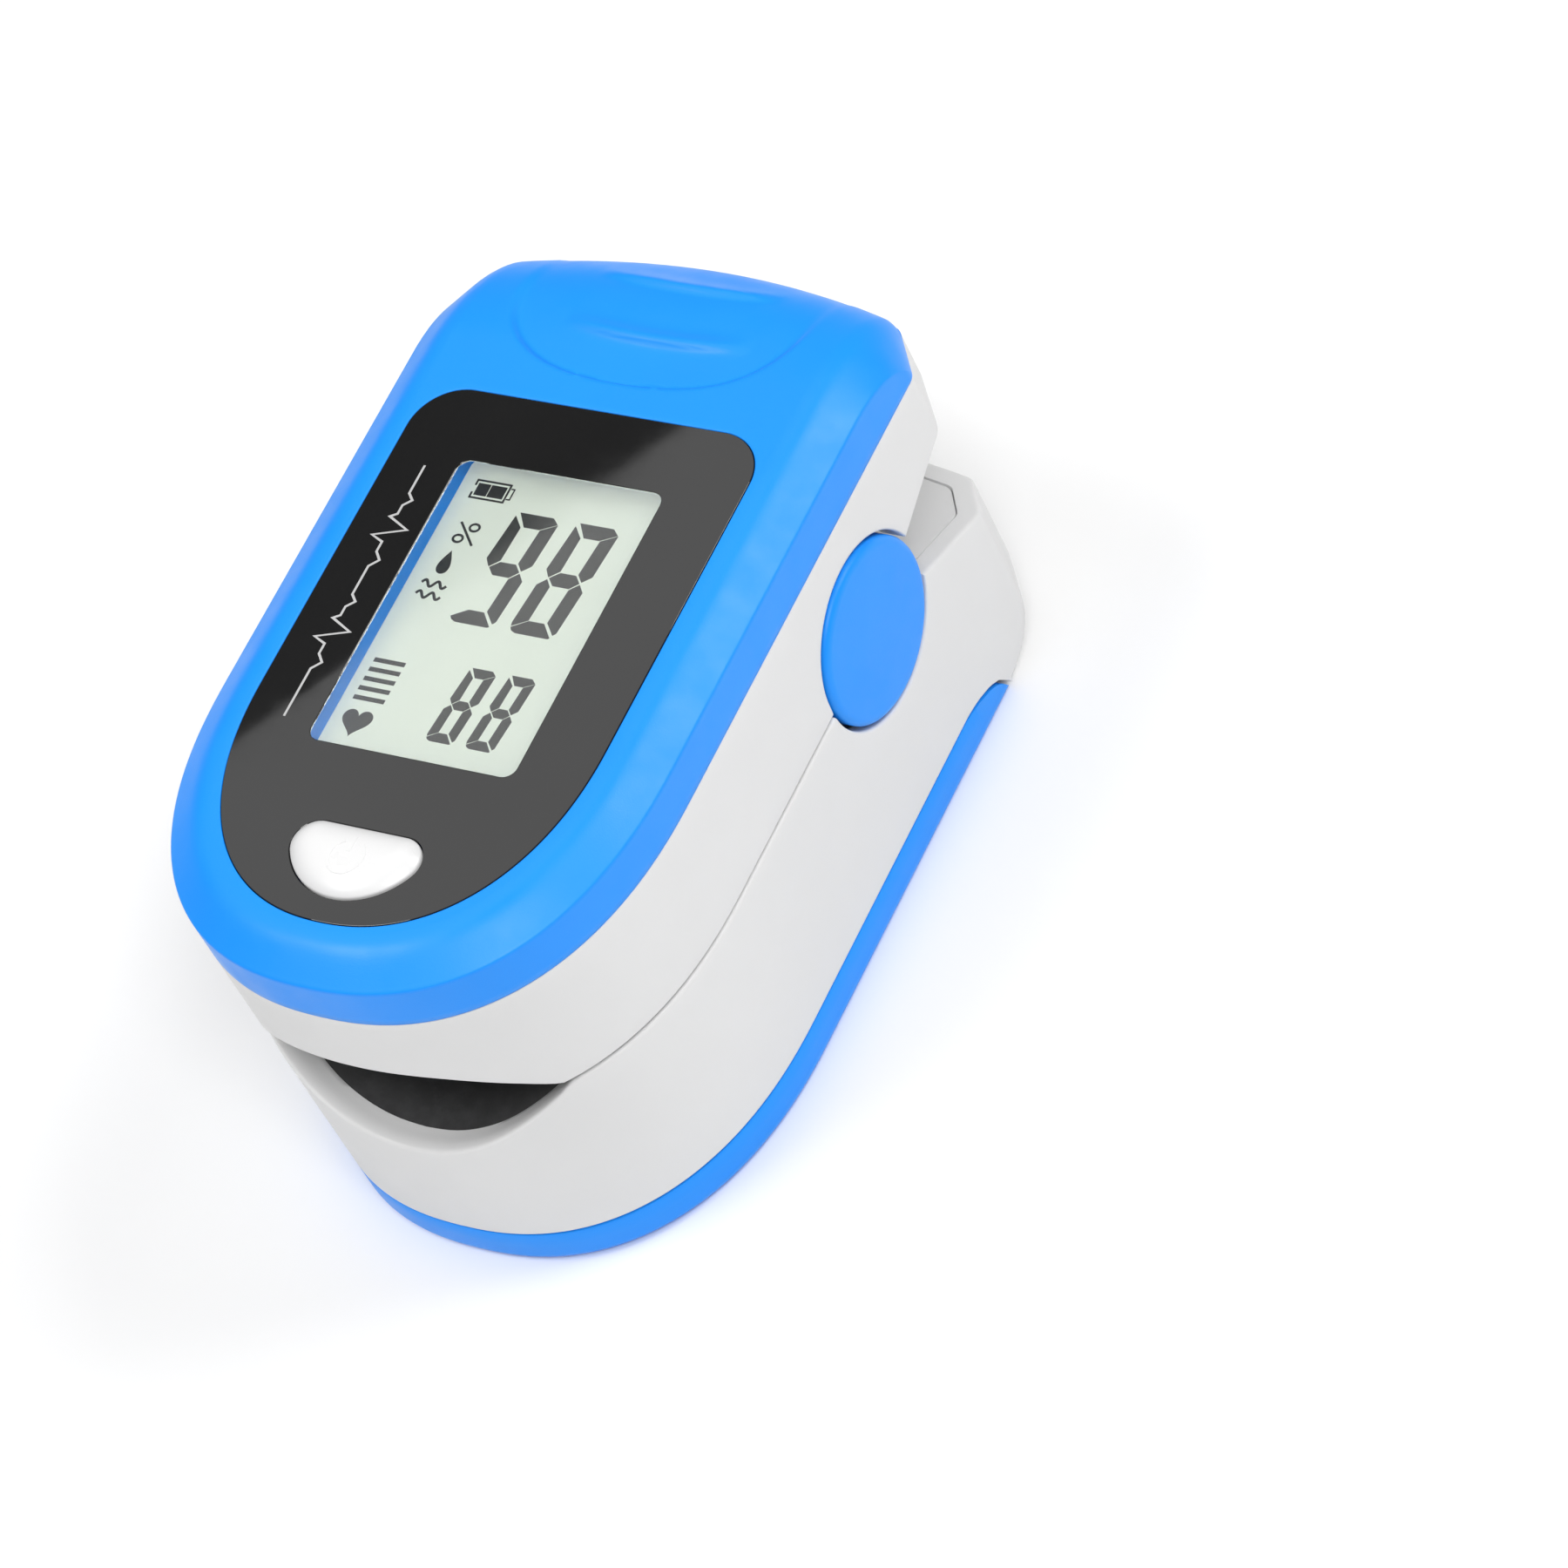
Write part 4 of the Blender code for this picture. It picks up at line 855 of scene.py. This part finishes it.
class Look:
    """A material and the nodes that feed its shader, mapped by the object's own coordinates in metres."""

    def __init__(self, name):
        self.material = bpy.data.materials.new(name)
        self.material.use_nodes = True
        self.nodes, self.links = self.material.node_tree.nodes, self.material.node_tree.links
        self.shader = self.nodes["Principled BSDF"].inputs
        self.coords = self.nodes.new("ShaderNodeTexCoord").outputs["Object"]

    def texture(self, kind, vector=None):
        node = self.nodes.new(kind)
        self.links.new(vector or self.coords, node.inputs["Vector"])
        return node

    def noise(self, scale, detail=2.0, rough=0.5, vector=None):
        node = self.texture("ShaderNodeTexNoise", vector)
        node.inputs["Scale"].default_value = scale
        node.inputs["Detail"].default_value = detail
        node.inputs["Roughness"].default_value = rough
        return node.outputs["Fac"]

    def ramp(self, fac, low, high, start=0.3, end=0.7):
        node = self.nodes.new("ShaderNodeMapRange")
        node.inputs["From Min"].default_value, node.inputs["From Max"].default_value = start, end
        node.inputs["To Min"].default_value, node.inputs["To Max"].default_value = low, high
        self.links.new(fac, node.inputs["Value"])
        return node.outputs["Result"]

    def feed(self, name, output):
        self.links.new(output, self.shader[name])

    def colour(self, fac, a, b, start=0.3, end=0.7):
        """Base colour from a to b as fac goes from start to end."""
        node = self.nodes.new("ShaderNodeValToRGB")
        node.color_ramp.elements[0].position, node.color_ramp.elements[0].color = start, (*a, 1)
        node.color_ramp.elements[1].position, node.color_ramp.elements[1].color = end, (*b, 1)
        self.links.new(fac, node.inputs["Fac"])
        self.feed("Base Color", node.outputs["Color"])

    def gloss(self, fac, low, high, start=0.3, end=0.7):
        """Roughness from low to high as fac goes from start to end."""
        self.feed("Roughness", self.ramp(fac, low, high, start, end))

    def bump(self, height, strength, distance):
        node = self.nodes.new("ShaderNodeBump")
        node.inputs["Strength"].default_value = strength
        node.inputs["Distance"].default_value = distance
        self.links.new(height, node.inputs["Height"])
        self.feed("Normal", node.outputs["Normal"])


def shade(colour, factor):
    return tuple(min(c * factor, 1.0) for c in colour)


def moulded(name, colour, rough, depth=0.000012, spread=0.05, spec=0.5):
    """Moulded plastic: spark-eroded grain, faint colour drift and uneven gloss."""
    look, grain = Look(name), 0.00011
    look.colour(look.noise(90, 3), shade(colour, 1 - spread), shade(colour, 1 + spread))
    look.gloss(look.noise(420, 4), rough - 0.05, rough + 0.06)
    look.bump(look.noise(1 / grain, 2, 0.6), 0.5, depth)
    look.shader["Specular IOR Level"].default_value = spec
    return look.material


def glossy(name, colour, rough, coat=1.0):
    """Polished plastic with faint handling marks in its gloss."""
    look = Look(name)
    look.colour(look.noise(60, 3), shade(colour, 0.9), shade(colour, 1.1))
    look.gloss(look.noise(150, 5, 0.65), rough, rough + 0.03, 0.4, 0.75)
    look.bump(look.noise(300, 2), 0.05, 0.00001)
    look.shader["IOR"].default_value = 1.6
    look.shader["Coat Weight"].default_value = coat
    look.shader["Coat Roughness"].default_value = 0.03
    return look.material


def metal(name, colour, rough):
    """Bright metal with fine drawing lines along X."""
    look = Look(name)
    stretch = look.texture("ShaderNodeMapping")
    stretch.inputs["Scale"].default_value = (0.06, 1, 1)
    lines = look.noise(3000, 3, vector=stretch.outputs["Vector"])
    look.colour(look.noise(300, 3), shade(colour, 0.9), shade(colour, 1.08))
    look.gloss(lines, rough - 0.06, rough + 0.1)
    look.bump(lines, 0.25, 0.000008)
    look.shader["Metallic"].default_value = 1.0
    return look.material


def clear(name, colour, rough=0.02):
    look = Look(name)
    look.gloss(look.noise(200, 3), rough, rough + 0.03)
    look.shader["Base Color"].default_value = (*colour, 1)
    look.shader["Transmission Weight"].default_value = 1.0
    look.shader["IOR"].default_value = 1.5
    return look.material


def lcd_glass(name):
    """Reflective display glass with its fine electrode grid, and a painted glow: emission that lights it evenly over
    the shade its recess casts on its edges.
    """
    look = Look(name)
    look.colour(look.noise(70, 2), (0.54, 0.59, 0.53), (0.56, 0.61, 0.55))
    grid = look.texture("ShaderNodeTexBrick")
    grid.offset = 0.0
    grid.inputs["Scale"].default_value = 2600
    grid.inputs["Mortar Size"].default_value = 0.03
    look.bump(grid.outputs["Fac"], 0.04, 0.000004)
    # painted light: this emission makes the display glow evenly though it is no lamp, filling in the shade at its
    # recessed edges
    look.shader["Emission Color"].default_value = (0.70, 0.74, 0.64, 1)
    look.shader["Emission Strength"].default_value = 0.45
    look.gloss(look.noise(500, 3), 0.3, 0.4)
    return look.material


def rubber(name, colour):
    """Matt silicone rubber with dust in its grain."""
    look = Look(name)
    dust = look.noise(700, 5, 0.7)
    look.colour(dust, colour, shade(colour, 2.2), 0.45, 0.85)
    look.gloss(dust, 0.6, 0.8)
    look.bump(look.noise(6000, 2), 0.4, 0.00002)
    look.shader["Sheen Weight"].default_value = 0.12
    return look.material


def board_material(name):
    """Green lacquered board with copper tracks under the lacquer."""
    look = Look(name)
    tracks = look.texture("ShaderNodeTexBrick")
    tracks.inputs["Scale"].default_value = 420
    tracks.inputs["Mortar Size"].default_value = 0.08
    tracks.inputs["Color1"].default_value = (0.01, 0.13, 0.05, 1)
    tracks.inputs["Color2"].default_value = (0.012, 0.16, 0.06, 1)
    tracks.inputs["Mortar"].default_value = (0.03, 0.27, 0.11, 1)
    look.feed("Base Color", tracks.outputs["Color"])
    look.gloss(look.noise(800, 3), 0.25, 0.4)
    look.bump(tracks.outputs["Fac"], 0.3, 0.00002)
    return look.material


def jacket(name):
    """Battery jacket: a dark wrap with a gold and a bare metal band at one end."""
    look = Look(name)
    split = look.texture("ShaderNodeSeparateXYZ")
    band = look.nodes.new("ShaderNodeValToRGB")
    band.color_ramp.interpolation = "CONSTANT"
    stops = [(0.0, (0.55, 0.55, 0.56)), (0.03, (0.02, 0.07, 0.035)), (0.72, (0.75, 0.6, 0.2)),
             (0.74, (0.6, 0.6, 0.6)), (0.97, (0.55, 0.55, 0.56))]
    first, last = band.color_ramp.elements
    first.position, first.color = stops[0][0], (*stops[0][1], 1)
    last.position, last.color = stops[-1][0], (*stops[-1][1], 1)
    for position, colour in stops[1:-1]:
        band.color_ramp.elements.new(position).color = (*colour, 1)
    cell = (-0.0236, 0.0207)  # the cell's two ends along Y, in metres
    look.links.new(look.ramp(split.outputs["Y"], 0, 1, *cell), band.inputs["Fac"])
    look.feed("Base Color", band.outputs["Color"])
    look.gloss(look.noise(500, 3), 0.25, 0.38)
    look.bump(look.noise(1500, 3), 0.1, 0.00002)
    look.shader["Metallic"].default_value = 0.4
    return look.material


BLUE = (0.010, 0.295, 0.98)
WHITE = (0.73, 0.73, 0.73)
M = {
    "blue": moulded("blue_shell", BLUE, 0.37, spread=0.02, spec=0.3),
    "white": moulded("white_shell", WHITE, 0.45, spread=0.012),
    "grey": moulded("grey_frame", (0.67, 0.67, 0.67), 0.5, spread=0.02),
    "button": moulded("button_white", (0.79, 0.79, 0.79), 0.3, spread=0.008, depth=0.000004),
    "panel": glossy("black_gloss", (0.013, 0.013, 0.0132), 0.015, 0.0),
    "window": clear("window_clear", (0.97, 0.99, 0.98)),
    "lens": clear("lens_clear", (0.75, 0.3, 0.28), 0.08),
    "lcd": lcd_glass("lcd_glass"),
    "ink": moulded("lcd_ink", (0.035, 0.036, 0.035), 0.5, spread=0.05),
    "print": moulded("panel_print", (0.5, 0.5, 0.5), 0.45, spread=0.05),
    "rubber": rubber("pad_rubber", (0.023, 0.023, 0.024)),
    "steel": metal("bright_steel", (0.62, 0.62, 0.63), 0.25),
    "nickel": metal("contact_metal", (0.68, 0.67, 0.64), 0.2),
    "board": board_material("circuit_board"),
    "black": moulded("black_component", (0.025, 0.025, 0.027), 0.5, spread=0.1),
    "lightbox": moulded("light_box", (0.88, 0.88, 0.86), 0.35, spread=0.02),
    "led": glossy("led_red", (0.6, 0.05, 0.04), 0.1),
    "jacket": jacket("battery_jacket"),
}

CARRIED = {  # CAD nodes that only get a material and softer edges
    "grey": "upper_frame",
    "rubber": "upper_pad",
    "lens": "sensor_window emitter_window",
    "black": "photodiode processor_chip tact_switch",
    "board": "sensor_board emitter_board main_board",
    "jacket": "battery_left battery_right",
    "nickel": "contact_plate_rear contact_tab_left contact_tab_right contact_spring_left contact_spring_right",
    "steel": "hinge_axle torsion_spring lower_screw_left lower_screw_right board_screw_left board_screw_right",
    "lightbox": "backlight",
    "led": "emitter_led",
    "button": "switch_plunger",
}


def dress(obj, key):
    obj.data.materials.clear()
    obj.data.materials.append(M[key])
    return obj


def place(obj, body, key, slot, *nodes):
    """Gives a new piece its material and its body, and hides the CAD nodes that it stands for."""
    dress(obj, key)
    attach(obj, body)
    if nodes:
        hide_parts(*nodes)


def soften(obj):
    """Rounds the edges of a carried-over CAD node."""
    modifier = obj.modifiers.new("edges", "BEVEL")
    modifier.width = 0.1 * MM
    modifier.segments = 2
    modifier.limit_method = "ANGLE"
    modifier.angle_limit = math.radians(40)
    obj.data.shade_smooth()
    obj.data.set_sharp_from_angle(angle=math.radians(35))


place(make_cover(), "upper_jaw", "blue", "blue_shell", "upper_cover")
place(make_panel(), "upper_jaw", "panel", "black_gloss", "display_panel")
place(make_window(), "upper_jaw", "window", "clear_lens", "display_window")
place(make_lcd(), "upper_jaw", "lcd", "lcd_glass", "lcd_module")
place(make_segments(), "upper_jaw", "ink", "black_component")
place(make_marks(), "upper_jaw", "print", "grey_frame")
place(make_upper_shell(), "upper_jaw", "white", "white_shell", "upper_case")
place(make_button(), "button", "button", "button_white", "power_button")
place(make_lower_shell(), "lower_jaw", "white", "white_shell", "lower_case")
place(make_lower_frame(), "lower_jaw", "grey", "grey_frame", "lower_frame")
place(make_tray(), "lower_jaw", "grey", "grey_frame")
place(make_hinge_walls(), "lower_jaw", "grey", "grey_frame")
place(make_lower_pad(), "lower_jaw", "rubber", "pad_rubber", "lower_pad")
place(make_door(), "door", "blue", "blue_shell", "battery_door")
for side, word in ((-1, "left"), (1, "right")):
    place(make_cap(side, word), "lower_jaw", "blue", "blue_shell", "pivot_cap_" + word)
    place(make_knuckle(side, word), "lower_jaw", "white", "white_shell")
for key, nodes in CARRIED.items():
    for node in nodes.split():
        soften(dress(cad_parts[node], key))


# ---- floor, light and camera ---------------------------------------------------------------------


def make_stage():
    body = Body("floor")
    size = 1500.0
    body.cap(body.ring([(-size, -size, 0), (size, -size, 0), (size, size, 0), (-size, size, 0)]))
    floor = body.object()
    paper = Look("floor_paper")
    paper.colour(paper.noise(8, 2), (0.92, 0.92, 0.92), (0.94, 0.94, 0.94))
    paper.shader["Roughness"].default_value = 0.9
    floor.data.materials.append(paper.material)


def add_light(name, place_m, power, size=(0.36, 0.36), turn=None):
    """A soft box aimed at the object, or straight down and turned by so many degrees."""
    data = bpy.data.lights.new(name, "AREA")
    data.shape, data.size, data.size_y = "RECTANGLE", size[0], size[1]
    data.energy = power
    light = bpy.data.objects.new(name, data)
    light.location = place_m
    aim = Vector((0, 0, 0.02)) - Vector(place_m)
    light.rotation_euler = (0, 0, math.radians(turn)) if turn else aim.to_track_quat("-Z", "Y").to_euler()
    bpy.context.scene.collection.objects.link(light)


def make_flag():
    """A dark card above the scene: its edge makes the slanting change of tone in the glossy panel."""
    corner, along, out = Vector((-585, 470, 800)), Vector((0.544, 0.839, 0)), Vector((-0.839, 0.544, 0))
    body = Body("flag")
    body.cap(body.ring([corner - along * 350, corner + along * 350, corner + along * 350 + out * 300,
                        corner - along * 350 + out * 300]))
    flag = body.object()
    cloth = Look("flag_cloth")
    cloth.colour(cloth.noise(40, 2), (0.06, 0.06, 0.06), (0.08, 0.08, 0.08))
    cloth.shader["Specular IOR Level"].default_value = 0.0
    flag.data.materials.append(cloth.material)
    flag.visible_camera = False


def make_world():
    world = bpy.data.worlds.new("studio")
    bpy.context.scene.world = world
    world.use_nodes = True
    back = world.node_tree.nodes["Background"]
    back.inputs["Color"].default_value = (1, 1, 1, 1)
    back.inputs["Strength"].default_value = 0.2
    bpy.context.scene.view_settings.view_transform = "Standard"


def make_camera():
    data = bpy.data.cameras.new("camera")
    data.lens, data.sensor_width = 154.76, 36.0
    data.clip_start, data.clip_end = 0.01, 20
    camera = bpy.data.objects.new("camera", data)
    right, up = Vector((0.85128, 0.41441, -0.32185)), Vector((-0.16982, 0.79797, 0.57828))
    back = right.cross(up)
    turn = Matrix((right, up, back)).transposed().to_4x4()
    camera.matrix_world = Matrix.Translation((0.22956, -0.18940, 0.34034)) @ turn
    bpy.context.scene.collection.objects.link(camera)
    bpy.context.scene.camera = camera


make_stage()
make_world()
make_camera()
make_flag()
add_light("right", (0.42, 0.35, 0.6), 2.62)
add_light("left", (-0.35, -0.3, 0.8), 2.8)
add_light("key", (0.42, -0.32, 0.75), 3.38)
add_light("front", (0.12, -0.5, 0.75), 0.42)
add_light("overhead", (-0.333, 0.307, 0.8), 1.45, size=(0.6, 0.8), turn=-32.96)
